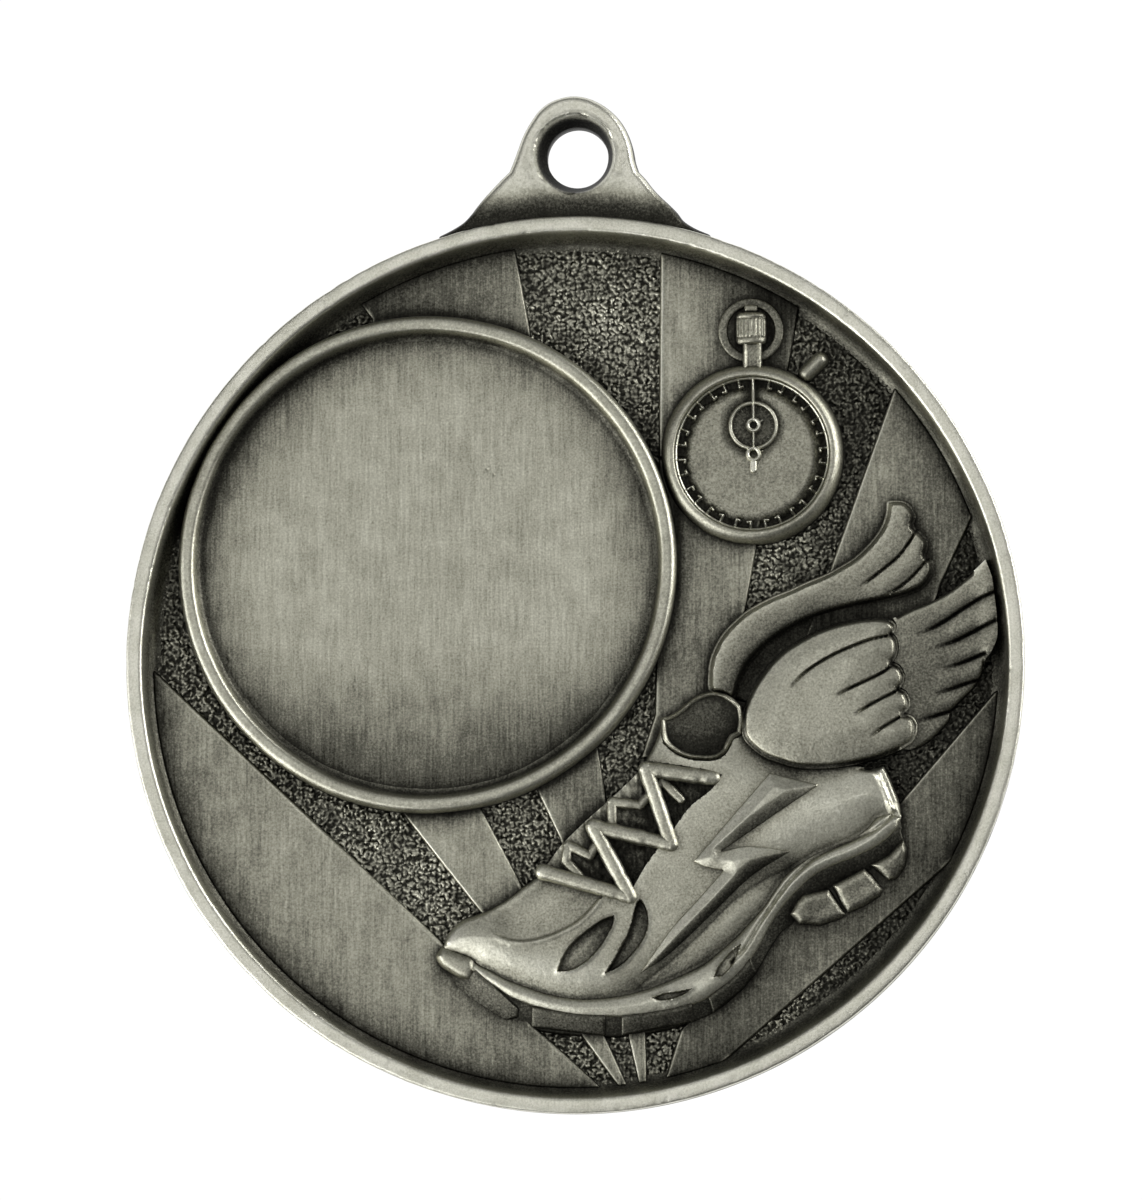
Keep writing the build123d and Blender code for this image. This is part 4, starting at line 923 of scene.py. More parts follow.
def cord(name, a, b, r, h, lift=1.0, wob=0.0, seed=0):
    """One lace strand: a round-ended closed tube lying on the shoe."""
    a, b = np.array(a, float), np.array(b, float)
    u = (b - a) / np.hypot(*(b - a))
    n = np.array([-u[1], u[0]])
    length = float(np.hypot(*(b - a)))
    cap = [(math.sin(t), 1 - math.cos(t)) for t in np.linspace(0, math.pi / 2, 7)[:-1]]
    st = [(-r + r * q, r * s) for s, q in cap]
    m = max(4, int(length / 0.12))
    st += [(length * i / m, r) for i in range(m + 1)]
    st += [(length + r - r * q, r * s) for s, q in cap[::-1]]
    k = 20
    t = np.linspace(0, 2 * math.pi, k, endpoint=False)
    rows, verts = [], []
    for i, (s, rad) in enumerate(st):
        w = 1 + wob * float(vnoise(np.array(s / 0.35), np.array(seed * 3.7), seed))
        rad = max(rad * w, 1e-4)
        c = a + u * s
        hh = h + lift * 0.04 * math.sin(math.pi * min(max(s / length, 0), 1))
        verts.append(np.column_stack([c[0] + n[0] * rad * np.cos(t), c[1] + n[1] * rad * np.cos(t), hh + rad * np.sin(t)]))
        rows.append(np.arange(i * k, i * k + k))
    v = np.vstack(verts)
    f = []
    nx = np.roll(np.arange(k), -1)
    for i in range(len(rows) - 1):
        p, q = rows[i], rows[i + 1]
        f += [np.column_stack([p, p[nx], q[nx]]), np.column_stack([p, q[nx], q])]
    n0 = len(v)
    v = np.vstack([v, [[*(a - u * r), h]], [[*(b + u * r), h]]])
    f.append(np.column_stack([rows[0][nx], rows[0], np.full(k, n0)]))
    f.append(np.column_stack([rows[-1], rows[-1][nx], np.full(k, n0 + 1)]))
    PIECES.setdefault(name, []).append((v, np.vstack(f)))


for i, (a, b) in enumerate(REAR):
    cord("shoe_tongue", a, b, 0.3, 2.48, seed=i, wob=0.08)
for i in range(len(LACE) - 1):
    cord("shoe_laces", LACE[i], LACE[i + 1], 0.45, 2.62 + 0.02 * (i % 2), wob=0.06, seed=i + 11)


def collar_top(x, z, d, v):
    e = lining.dist(v)
    q = lining.inside(v)
    lip = 2.46 + 0.1 * np.exp(-(((e - 0.1) / 0.07) ** 2)) + 0.04 * smooth(0.2, 0.5, e)
    lip = np.where(q, 2.02, lip)
    k = smooth(0, 0.07, e)
    lip = np.where(q, lip * k + 2.46 * (1 - k), lip)
    body = np.where(upper.inside(v), 2.2, 1.75)
    return body + (lip - body) * roll(d, 0.14, 2.2)


solid("shoe_collar", collar, 0.06, collar_top, rows=EDGE[:6], extra=along(collar, (lining, (0, 0.04, -0.04, 0.1, -0.1, 0.18, -0.18))))
solid("shoe_lining", lining, 0.12, lambda x, z, d, v: 2.12 + 0.14 * smooth(-4.6, -2.4, z) + 0.02 * vnoise(x / 0.5, z / 0.5, 3), rows=(0.05,))


def flash_top(x, z, d, v):
    return upper_top(x, z, upper.dist(v), v) + 0.13 * roll(d, 0.05, 1.6) + 0.4 * np.clip(d, 0, 0.72) + rough(x, z, 70, 0.006, 0.004)


solid("shoe_flash", flash, 0.07, flash_top, bottom=2.2, rows=(0.015, 0.035, 0.06, 0.12, 0.2))

bead = curve(BEAD, 0.1)


def midsole_top(x, z, d, v):
    h = 2.44 + 0.3 * pillow(d, 0.85) + rough(x, z, 30, 0.005, 0.006)
    g = line_dist(v, bead)
    h -= 0.16 * np.exp(-((g / 0.11) ** 2))
    for slot in (slot1, slot2):
        e = slot.dist(v)
        h = np.where(slot.inside(v), h - 0.3 * roll(e, 0.12), h + 0.05 * np.exp(-((e / 0.11) ** 2)))
    fl = 1.75 + 0.58 * np.maximum(beside(v, upper), beside(v, bumper)) + 0.35 * beside(v, outsole, 0.2) * (1 - beside(v, upper))
    return fl + (h - fl) * roll(d, 0.2, 2.2)


solid("shoe_midsole", midsole, 0.07, midsole_top, rows=EDGE[:6], extra=along(midsole, (slot1, (0, 0.05, -0.05)), (slot2, (0, 0.05, -0.05))))
def bumper_top(x, z, d, v):
    fl = 1.75 + 0.5 * np.maximum(beside(v, upper), beside(v, midsole))
    return fl + (2.44 + 0.26 * pillow(d, 0.7) - fl) * roll(d, 0.4, 2.1)


solid("shoe_toe_bumper", bumper, 0.07, bumper_top, rows=EDGE)


def outsole_top(x, z, d, v):
    e = midsole.dist(v)
    e = np.where(midsole.inside(v), 0, e)
    return 1.72 + (2.4 - 0.46 * np.clip(e / 1.2, 0, 1) - 1.72) * roll(d + 2 * beside(v, midsole, 0.2), 0.16, 2.0)


solid("shoe_outsole", outsole, 0.09, outsole_top, rows=EDGE[:6])
for i, block in enumerate(TREADS):
    pts = np.array(block, float)
    if i > 3:
        pts = (pts - pts.mean(0)) * 1.1 + pts.mean(0)
    ring = np.vstack([curve([pts[j], pts[(j + 1) % len(pts)]], 0.08)[:-1] for j in range(len(pts))])
    poly = Shape(ring)
    shape = Both(poly, outsole)

    def tread_top(x, z, d, v, i=i):
        e = midsole.dist(v)
        if i > 3:
            return 1.8 + (0.92 - 0.3 * np.clip(e / 1.6, 0, 1)) * roll(d, 0.55, 2.1)
        return 1.8 + (0.84 - 0.62 * np.clip(e / 1.3, 0, 1)) * roll(d, 0.16, 2.0)

    solid("shoe_treads", shape, 0.08, tread_top, rows=EDGE)

# ------------------------------------------------ wing
covert_edge = np.vstack([covert.loops[0], covert.loops[0][:1]])


def rear_top(x, z, d, v):
    b = seg_dist(v, covert.a, covert.b)
    b = np.where(covert.inside(v), 0, b)
    slope = pillow(b, 2.6)
    h = 2.05 + 0.7 * (0.12 + 0.88 * slope) + rough(x, z, 50, 0.006, 0.008)
    h -= 0.2 * smooth(17.2, 20.0, x) * smooth(7.5, 3.5, z)
    h -= groove(v, GR1, depth=0.3, end=0) + groove(v, GR2, depth=0.28, end=0)
    h = np.maximum(h, 1.95)
    dd = d + 2 * beside(v, covert, 0.25)
    e = roll(dd, 0.09, 2.0) * 0.45 + 0.55 * smooth(0.13, 0.4, dd)
    return 1.75 + (h - 1.75) * e


def mm(*pts):
    """Closed smooth outline."""
    p = curve([*pts, pts[0]], 0.12)
    return Shape(p[:-1])


root_web = mm((8.82, -2.0), (8.4, -1.2), (9.9, 1.4), (12.6, 3.7), (15.3, 4.35), (18.1, 4.85), (19.5, 4.3), (18.4, 2.7), (17.75, 1.85), (15.4, 1.4), (13.2, 0.85), (11.5, -0.5), (10.2, -2.15))
solid("wing_rear", root_web, 0.12, lambda x, z, d, v: 1.8 + 0.2 * roll(d, 0.5, 2.0) + rough(x, z, 52, 0.003, 0.006), rows=(0.05, 0.15, 0.3))
solid("wing_rear", wing_rear, 0.075, rear_top, rows=(0.01, 0.03, 0.06, 0.1, 0.14, 0.19, 0.25, 0.32))


def covert_top(x, z, d, v):
    h = 2.55 + 0.5 * pillow(d, 2.8) + rough(x, z, 55, 0.006, 0.008)
    for g, t in ((GC1, 1.4), (GC2, 1.0), (GC3, 0.9), (GC4, 0.8)):
        h -= groove(v, g, depth=0.3, soft=0.06, taper=t)
    fl = 1.75 + 0.6 * np.maximum(beside(v, upper), beside(v, primaries)) + 0.2 * beside(v, wing_rear)
    e = roll(d, 0.08, 2.0) * 0.55 + 0.45 * smooth(0.1, 0.34, d)
    return fl + (h - fl) * e


solid("wing_coverts", covert, 0.075, covert_top, rows=(0.01, 0.03, 0.06, 0.1, 0.14, 0.19, 0.25, 0.32))


def primaries_top(x, z, d, v):
    r = np.hypot(x, z)
    h = 2.5 - 0.12 * smooth(18, 21, x) + 0.25 * smooth(22.2, 23.5, r) + rough(x, z, 65, 0.006, 0.008)
    lines = [curve(g, 0.1) for g in (GP1, GP2, GP3, GP4, GP5)]
    h -= 0.14 * smooth(0, -5.5, z)
    for g in (GP1, GP2, GP3, GP4, GP5):
        h -= groove(v, g, w=0.1, depth=0.24, soft=0.1, sw=0.3, taper=1.4)
    dd = primaries.dist(v) * (d > 0) + 2 * beside(v, covert, 0.3) + 2 * smooth(22.7, 23.2, r)
    return 1.75 + (h - 1.75) * roll(dd, 0.24, 2.1)


solid("wing_primaries", Both(primaries, Shape(circle(0, 0, 24.0, 0.1))), 0.08, primaries_top, rows=EDGE)


# ------------------------------------------------ rim, back and loop
def rim_shift(v):
    r = np.hypot(v[:, 0], v[:, 1])
    a = np.arctan2(v[:, 0], v[:, 1])
    c, s = v[:, 0] / r, v[:, 1] / r
    out = (r > 23.9) * (0.03 * np.sin(3 * a + 0.7) * np.cos(2 * a) + 0.012 * vnoise(a * 9, a * 0, 2) + 0.006 * vnoise(a * 60, v[:, 2] * 2, 3))
    out -= (r > 24.7) * 0.03 * np.clip(vnoise(a * 38, v[:, 2] * 1.4, 21) - 0.45, 0, 1) * 2
    dh = (v[:, 2] > 2.9) * (0.006 * vnoise(a * 40, r * 2, 4) + 0.01 * vnoise(a * 11, r, 5) - 0.09 * np.clip(vnoise(a * 90, r * 1.7, 9) - 0.62, 0, 1))
    return np.column_stack([v[:, 0] + out * c, v[:, 1] + out * s, v[:, 2] + dh])


turned("raised_rim", 0, 0, [
    (24.86, 1.5), (24.95, 1.56), (24.985, 1.64), (25.0, 1.9), (25.0, 2.3), (25.0, 2.7), (25.0, 2.94), (24.99, 3.04), (24.965, 3.11), (24.92, 3.16), (24.85, 3.185), (24.7, 3.195),
    (24.52, 3.198), (24.36, 3.195), (24.25, 3.18), (24.17, 3.14), (24.12, 3.07), (24.08, 2.98), (24.04, 2.84), (23.99, 2.68), (23.93, 2.52), (23.86, 2.37), (23.78, 2.23),
    (23.68, 2.1), (23.57, 1.99), (23.46, 1.9), (23.34, 1.84), (23.2, 1.8), (23.2, 1.5)], 1440, shift=rim_shift)
turned("back_plate", 0, 0, [
    (0, 0), (6, 0), (12, 0), (18, 0), (22, 0), (24.3, 0), (24.55, 0.012), (24.74, 0.06), (24.88, 0.14), (24.96, 0.26), (24.985, 0.42), (24.985, 0.9), (24.98, 1.36),
    (24.95, 1.44), (24.86, 1.5), (23.0, 1.52), (12, 1.52), (0, 1.52)], 720,
    shift=lambda v: v + np.column_stack([0 * v[:, 0], 0 * v[:, 0], (v[:, 2] < 0.3) * (0.012 + 0.01 * vnoise(v[:, 0] / 3, v[:, 1] / 3, 8))]))

right = curve([(7.6, 24.05), (6.7, 24.45), (6.12, 24.84), (5.78, 25.28), (5.32, 25.75), (4.84, 26.2), (4.42, 26.65), (3.98, 27.22), (3.62, 27.6)], 0.07)
left = curve([(-3.66, 27.64), (-4.04, 27.28), (-4.66, 26.64), (-5.07, 26.18), (-5.44, 25.73), (-5.78, 25.28), (-6.2, 24.84), (-6.8, 24.45), (-7.6, 24.05)], 0.07)
arc = curve([(3.62, 27.6), (3.43, 28.19), (3.35, 28.63), (3.25, 29.08), (3.1, 29.52), (2.88, 29.97), (2.56, 30.42), (2.1, 30.88), (1.45, 31.34), (0.75, 31.65), (0, 31.77), (-0.75, 31.67),
             (-1.5, 31.36), (-2.07, 30.88), (-2.42, 30.42), (-2.72, 29.97), (-2.95, 29.52), (-3.12, 29.08), (-3.28, 28.63), (-3.44, 28.19), (-3.66, 27.64)], 0.07)
arc[:, 1] += 0.15 * smooth(29.0, 31.3, arc[:, 1])
loop_ring = np.vstack([right[:-1], arc[:-1], left[:-1], curve([(-7.6, 24.05), (-7.2, 23.0)], 0.1)[:-1], curve([(-7.2, 23.0), (7.2, 23.0)], 0.2)[:-1], curve([(7.2, 23.0), (7.6, 24.05)], 0.1)[:-1]])
loop_open = np.vstack([right[:-1], arc, left[1:]])
hole = circle(0.16, 28.49, 1.72, 0.07)
eye = Cut(Shape(loop_ring, hole), Shape(circle(0, 0, 24.62, 0.1)))


def loop_front(x, z, d, v):
    e = line_dist(v, loop_open)
    r = np.hypot(x - 0.02, z - 28.58)
    r0 = np.hypot(x, z)
    rn = np.hypot(x - 0.16, z - 28.49) - 1.72
    h = 1.62 + 1.28 * roll(e, 0.42, 2.6) + rough(x, z, 80, 0.006, 0.01) - 0.05 * np.clip(vnoise(x / 0.3, z / 0.22, 83) - 0.62, 0, 1)
    h -= 0.1 * np.exp(-(((r0 - 25.1) / 0.5) ** 2)) + 0.05 * smooth(3.1, 2.5, r) * smooth(2.2, 2.5, r)
    f = np.clip(rn / np.maximum(rn + np.clip(2.27 - r, 0, 9), 1e-6), 0, 1)
    cone = 1.75 + 1.0 * f + 0.15 * f**6
    return np.where(r > 2.27, h, np.minimum(h, cone))


def loop_back(x, z, d, v):
    e = line_dist(v, loop_open)
    r = np.hypot(x - 0.16, z - 28.49)
    h = 1.5 - 1.2 * roll(e, 0.5, 2.2)
    cone = 0.55 - 0.25 * roll(np.clip(r - 1.72, 0, 9), 0.25, 2.0)
    return np.where(r < 2.0, np.maximum(h, cone), h)


solid("hanger_loop", eye, 0.09, loop_front, mirror=loop_back, rows=(0.012, 0.04, 0.08, 0.14, 0.22, 0.32, 0.44, 0.58))

# ---------------------------------------------------------------- patina and painted light
merged = {}
for name, parts in PIECES.items():
    vs, fs, k = [], [], 0
    for v, f in parts:
        vs.append(v)
        fs.append(f + k)
        k += len(v)
    merged[name] = (np.vstack(vs), np.vstack(fs))

STEP = 0.11
gx = np.arange(-27.0, 27.0, STEP)
gz = np.arange(-27.0, 34.0, STEP)
bv, bf, k = [], [], 0
for v, f in merged.values():
    up = (v[f[:, 1], 0] - v[f[:, 0], 0]) * (v[f[:, 2], 1] - v[f[:, 0], 1]) - (v[f[:, 2], 0] - v[f[:, 0], 0]) * (v[f[:, 1], 1] - v[f[:, 0], 1]) > 0
    bv.append(v)
    bf.append(f[up] + k)
    k += len(v)
# Height map: sample every upward triangle finely enough, keep the highest
allv = np.vstack(bv)
allf = np.vstack(bf)
hmap = np.full((len(gx), len(gz)), -1.0)


def splat(p):
    i = np.clip(np.round((p[:, 0] - gx[0]) / STEP).astype(int), 0, len(gx) - 1)
    j = np.clip(np.round((p[:, 1] - gz[0]) / STEP).astype(int), 0, len(gz) - 1)
    np.maximum.at(hmap, (i, j), p[:, 2])


tri = allv[allf]
size = np.maximum(np.ptp(tri[:, :, 0], axis=1), np.ptp(tri[:, :, 1], axis=1))
splat(allv)
for lo, hi, n in ((0.0, 0.12, 1), (0.12, 0.3, 5), (0.3, 0.8, 12), (0.8, 3.0, 40)):
    sel = tri[(size > lo) & (size <= hi)]
    for a in range(n + 1):
        for b in range(n + 1 - a):
            c = n - a - b
            if n == 1:
                if a or b:
                    continue
                splat(sel.mean(1))
            else:
                splat((sel[:, 0] * a + sel[:, 1] * b + sel[:, 2] * c) / n)
XX, ZZ = np.meshgrid(gx, gz, indexing="ij")
RR = np.hypot(XX, ZZ)
hmap = np.where(hmap < 0, np.where(RR < 23.5, 2.0, 2.45), hmap)


def blur(m, sigma):
    fx = np.fft.fftfreq(m.shape[0], STEP)
    fz = np.fft.rfftfreq(m.shape[1], STEP)
    g = np.exp(-2 * (math.pi * sigma) ** 2 * (fx[:, None] ** 2 + fz[None] ** 2))
    return np.fft.irfft2(np.fft.rfft2(m) * g, m.shape)


def sample(m, v):
    x = np.clip((v[:, 0] - gx[0]) / STEP, 0, m.shape[0] - 1.001)
    z = np.clip((v[:, 1] - gz[0]) / STEP, 0, m.shape[1] - 1.001)
    i, j = x.astype(int), z.astype(int)
    a, b = x - i, z - j
    return (m[i, j] * (1 - a) + m[i + 1, j] * a) * (1 - b) + (m[i, j + 1] * (1 - a) + m[i + 1, j + 1] * a) * b


BL = {s: blur(hmap, s) for s in (0.2, 0.5, 1.1, 2.4)}
GX, GZ = np.gradient(BL[0.2], STEP)
TONE = {"raised_rim": 0.86, "hanger_loop": 0.88, "back_plate": 0.6, "insert_bezel": 0.64, "insert_seat": 0.66, "stippled_ground": 0.3, "watch_case": 0.6, "watch_dial": 0.58,
        "watch_minute_track": 0.85, "watch_subdial": 0.66, "watch_hand": 0.86, "watch_crown": 0.54, "watch_bow": 0.42, "watch_pusher": 0.6, "shoe_upper": 0.63, "shoe_flash": 0.74,
        "shoe_laces": 0.63, "shoe_tongue": 0.6, "shoe_collar": 0.56, "shoe_lining": 0.36, "shoe_toe_bumper": 0.62, "shoe_midsole": 0.76, "shoe_outsole": 0.3, "shoe_treads": 0.5,
        "wing_rear": 0.58, "wing_coverts": 0.65, "wing_primaries": 0.5,
        "ray_lower_left": 0.58, "ray_left": 0.6, "ray_upper_left": 0.54, "ray_centre": 0.6, "ray_watch_top": 0.6, "ray_watch_foot": 0.59, "ray_right": 0.57, "ray_lower_right": 0.47,
        "ray_tail_left": 0.6, "ray_tail_middle": 0.6}


# Painted shade and painted highlight by facing: slopes of the raised shapes that face right and down are painted
# darker, those that face left and up lighter, as the lights fall.
PAINTED_FACING_LIGHT = {"shoe_flash": 1.0, "shoe_upper": 0.3, "shoe_midsole": 0.35, "wing_rear": 0.6, "wing_coverts": 0.4, "wing_primaries": 0.4, "shoe_toe_bumper": 0.3, "shoe_treads": 0.5}


def tones(name, v):
    t0 = TONE.get(name, 0.55)
    c = {s: sample(m, v) - v[:, 2] for s, m in BL.items()}
    front = smooth(1.3, 1.7, v[:, 2])
    x, z = v[:, 0], v[:, 1]
    if name == "stippled_ground":
        b = (v[:, 2] - 1.74) / 0.1
        # Darker in the hollows, partly oxide patina and partly painted shade, and darker towards the right.
        dark = 0.4 * np.clip(c[0.5], 0, 1) + 0.35 * np.clip(c[1.1], 0, 1) + 0.25 * np.clip(c[2.4], 0, 1) + 0.3 * smooth(11, 17, x)
        return np.clip((0.17 + 0.46 * np.clip(b, 0, 1.3)) * (1 - dark), 0, 1)
    # Darker in the hollows and beside raised parts: partly oxide patina, partly painted shade.
    k2, k5 = (1.5, 0.9) if name not in ("shoe_tongue", "shoe_upper", "wing_coverts", "wing_rear") else (1.1, 0.8)
    dark = k2 * np.clip(c[0.2], 0, 1) + k5 * np.clip(c[0.5], 0, 1) + 0.7 * np.clip(c[1.1], 0, 1) + 0.75 * np.clip(c[2.4] - 0.06, 0, 1)
    wear = 1.5 * np.clip(-c[0.2], 0, 1) + 0.5 * np.clip(-c[0.5], 0, 1)
    if name in ("wing_coverts", "wing_rear", "shoe_collar"):
        wear = wear * 0.5
    if name in ("watch_minute_track", "watch_hand"):
        dark = dark * 0.4
    if name == "raised_rim":
        dark = dark * 0.42
    dark = np.clip(dark, 0, 0.86) * front
    wear = np.clip(wear, 0, 1) * front
    t = t0 * (1 - dark) + (1 - t0) * 0.75 * wear * (1 - dark)
    if name in PAINTED_FACING_LIGHT:
        # Painted shade on slopes facing right and down, painted highlight on slopes facing left and up.
        g = PAINTED_FACING_LIGHT[name] * (0.85 * sample(GX, v) - 0.5 * sample(GZ, v)) * front
        t = t * (1 - 1.1 * np.clip(-g, 0, 0.7)) + (0.92 - t) * np.clip(0.9 * g, 0, 0.6) * (1 - dark)
    if name == "shoe_upper":
        t = t + 0.1 * smooth(8.0, 11.0, x) * (1 - dark) + 0.05 * smooth(2.0, 6.0, x) * (1 - dark)
        # Painted highlight: a lighter band along the lower edge of the toe, where it faces down and left.
        t = t + 0.2 * np.exp(-((line_dist(v[:, :2], curve([(-7.0, -15.2), (-4.5, -16.1), (-1.5, -17.0), (1.5, -17.4)], 0.2)) / 0.75) ** 2)) * (1 - dark)
    if name == "shoe_treads":
        t = t * np.where(x < 11, 0.68, 1.0)
    if name in ray_shapes:
        # Painted highlight along the rolled edges of the rays that face left and up.
        painted_edge_highlight = smooth(0.03, 0.12, 0.85 * sample(GX, v) - 0.5 * sample(GZ, v))
        t = t + 0.2 * painted_edge_highlight * np.exp(-(((ray_shapes[name].dist(v[:, :2]) - 0.14) / 0.09) ** 2)) * front
    if name == "ray_watch_top":
        # Painted shade: a darker patch on the ray between the crown, the pusher and the case.
        t = t - 0.2 * np.exp(-(((x - 11.3) ** 2 + (z - 18.6) ** 2) / 5.5))
    if name == "insert_seat":
        # Painted shade: darker towards the bottom of the seat and towards the bezel wall.
        t = t - 0.19 * smooth(2.5, -5.5, z) - 0.06 * smooth(8.5, 12, np.hypot(x + 8.21, z - 5.61))
    if name == "wing_primaries":
        t = t - 0.06 * smooth(3, -2, z)
    if name == "raised_rim":
        r = np.hypot(x, z)
        wall = smooth(24.16, 23.9, r) * front
        t = t * (1 - 0.3 * wall) + 0.05 * vnoise(x / 1.1, z / 1.1, 31) * front
    if name == "hanger_loop":
        r = np.hypot(v[:, 0], v[:, 1] - 28.5)
        # Painted shade: darker down into the hanger hole and at the foot of the loop where it meets the rim.
        t = t * (1 - 0.75 * smooth(2.3, 1.9, r))
        t = t * (1 - 0.74 * smooth(27.2 + 0.12 * vnoise(x / 0.25, z / 0.25, 5), 25.5, np.hypot(x, z)))
    return np.clip(t, 0.02, 1)


# ---------------------------------------------------------------- materials
def silver(name, grain=0.05, brush=0.0, blotch=0.05, rough_hi=0.3, rough_lo=0.52, bump=0.25, speck=0.0):
    """Antique silver: oxide and painted shade in the hollows, painted shade and highlights by facing, satin plating on
    the faces, rubbed bright on the edges.
    """
    m = bpy.data.materials.new(name)
    m.use_nodes = True
    nt = m.node_tree
    nt.nodes.clear()
    N, L = nt.nodes.new, nt.links.new
    out = N("ShaderNodeOutputMaterial")
    bs = N("ShaderNodeBsdfPrincipled")
    L(bs.outputs[0], out.inputs[0])
    bs.inputs["Metallic"].default_value = 1.0
    # The tone attribute carries oxide patina and wear together with painted shade and painted highlights.
    at = N("ShaderNodeAttribute")
    at.attribute_name = "patina_and_painted_light"
    tc = N("ShaderNodeTexCoord")

    def noise(scale, detail, stretch=None, rough=0.55):
        n = N("ShaderNodeTexNoise")
        n.inputs["Scale"].default_value = scale
        n.inputs["Detail"].default_value = detail
        n.inputs["Roughness"].default_value = rough
        if stretch:
            mp = N("ShaderNodeMapping")
            mp.inputs["Scale"].default_value = stretch
            L(tc.outputs["Object"], mp.inputs["Vector"])
            L(mp.outputs["Vector"], n.inputs["Vector"])
        else:
            L(tc.outputs["Object"], n.inputs["Vector"])
        return n.outputs["Fac"]

    def math_(op, a, b=None, c=None):
        n = N("ShaderNodeMath")
        n.operation = op
        for k, s in enumerate((a, b, c)):
            if s is None:
                continue
            if isinstance(s, (int, float)):
                n.inputs[k].default_value = s
            else:
                L(s, n.inputs[k])
        return n.outputs[0]

    fine = noise(8200, 3.0, None, 0.7)
    lines = noise(7500, 3.0, (1.0, 1.0, 0.06), 0.65)
    soft = noise(750, 5.0, None, 0.6)
    t = at.outputs["Fac"]
    t = math_("MULTIPLY_ADD", math_("SUBTRACT", fine, 0.5), grain * 2, t)
    if brush:
        t = math_("MULTIPLY_ADD", math_("SUBTRACT", lines, 0.5), brush * 2, t)
    t = math_("MULTIPLY_ADD", math_("SUBTRACT", soft, 0.5), blotch * 2, t)
    ramp = N("ShaderNodeValToRGB")
    cr = ramp.color_ramp
    stops = [(0.0, (0.010, 0.0097, 0.008)), (0.22, (0.045, 0.044, 0.036)), (0.4, (0.16, 0.157, 0.128)), (0.6, (0.44, 0.432, 0.352)), (0.8, (0.70, 0.695, 0.59)), (1.0, (0.93, 0.92, 0.82))]
    cr.elements[0].position, cr.elements[0].color = stops[0][0], (*stops[0][1], 1)
    cr.elements[1].position, cr.elements[1].color = stops[-1][0], (*stops[-1][1], 1)
    for p, c in stops[1:-1]:
        e = cr.elements.new(p)
        e.color = (*c, 1)
    L(t, ramp.inputs["Fac"])
    L(ramp.outputs["Color"], bs.inputs["Base Color"])
    mr = N("ShaderNodeMapRange")
    mr.inputs["From Min"].default_value = 0.15
    mr.inputs["From Max"].default_value = 0.85
    mr.inputs["To Min"].default_value = rough_lo
    mr.inputs["To Max"].default_value = rough_hi
    L(t, mr.inputs["Value"])
    L(mr.outputs["Result"], bs.inputs["Roughness"])
    bp = N("ShaderNodeBump")
    bp.inputs["Strength"].default_value = bump
    bp.inputs["Distance"].default_value = 0.00003
    hsum = math_("MULTIPLY_ADD", lines, 1.2 if brush else 0.0, fine)
    L(hsum, bp.inputs["Height"])
    L(bp.outputs["Normal"], bs.inputs["Normal"])
    return m


MATS = {
    "worn_silver": silver("worn_silver", grain=0.32, blotch=0.14, rough_hi=0.38, rough_lo=0.5, bump=0.5),
    "relief_silver": silver("relief_silver", grain=0.34, blotch=0.1, rough_hi=0.38, rough_lo=0.52, bump=0.6),
    "brushed_silver": silver("brushed_silver", grain=0.27, brush=0.17, blotch=0.12, rough_hi=0.36, rough_lo=0.5, bump=0.5),
    "oxidised_silver": silver("oxidised_silver", grain=0.2, blotch=0.04, rough_hi=0.28, rough_lo=0.45, bump=0.5),
}


def slot_of(n):
    if n in ("raised_rim", "hanger_loop", "insert_bezel", "watch_case"):
        return "worn_silver"
    if n == "stippled_ground":
        return "oxidised_silver"
    if n in ("insert_seat", "back_plate") or n.startswith("ray_"):
        return "brushed_silver"
    return "relief_silver"


SHARP = {"raised_rim": 60, "stippled_ground": 80}
for name, (v, f) in merged.items():
    co = np.column_stack([v[:, 0], THICK / 2 - v[:, 2], v[:, 1] - DROP]) * 1e-3
    me = bpy.data.meshes.new(name + "_cast")
    me.vertices.add(len(co))
    me.vertices.foreach_set("co", co.astype(np.float32).ravel())
    me.loops.add(len(f) * 3)
    me.loops.foreach_set("vertex_index", f.astype(np.int32).ravel())
    me.polygons.add(len(f))
    me.polygons.foreach_set("loop_start", np.arange(0, len(f) * 3, 3, dtype=np.int32))
    me.update(calc_edges=True)
    # Per-point tone: oxide patina and wear, with painted shade and painted highlights.
    at = me.attributes.new("patina_and_painted_light", "FLOAT", "POINT")
    at.data.foreach_set("value", tones(name, v).astype(np.float32))
    me.polygons.foreach_set("use_smooth", np.ones(len(f), bool))
    me.set_sharp_from_angle(angle=math.radians(SHARP.get(name, 48)))
    me.validate()
    ob = bpy.data.objects.new(name + "_cast", me)
    bpy.context.scene.collection.objects.link(ob)
    me.materials.append(MATS[slot_of(name)])
    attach(ob, "root")
    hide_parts(name)
    print("piece", name, len(v), len(f))

# ---------------------------------------------------------------- studio
scene = bpy.context.scene
scene.view_settings.view_transform = "Standard"
scene.view_settings.look = "None"

world = bpy.data.worlds.new("studio")
scene.world = world
world.use_nodes = True
nt = world.node_tree
nt.nodes.clear()
wo = nt.nodes.new("ShaderNodeOutputWorld")
bg = nt.nodes.new("ShaderNodeBackground")
tc = nt.nodes.new("ShaderNodeTexCoord")
sp = nt.nodes.new("ShaderNodeSeparateXYZ")
rp = nt.nodes.new("ShaderNodeValToRGB")
nt.links.new(tc.outputs["Generated"], sp.inputs[0])
mr = nt.nodes.new("ShaderNodeMapRange")
mr.inputs["From Min"].default_value = -1
mr.inputs["From Max"].default_value = 1
nt.links.new(sp.outputs["Y"], mr.inputs["Value"])
nt.links.new(mr.outputs["Result"], rp.inputs["Fac"])
e = rp.color_ramp.elements
e[0].position, e[0].color = 0.0, (0.24, 0.24, 0.235, 1)
e[1].position, e[1].color = 1.0, (1, 1, 1, 1)
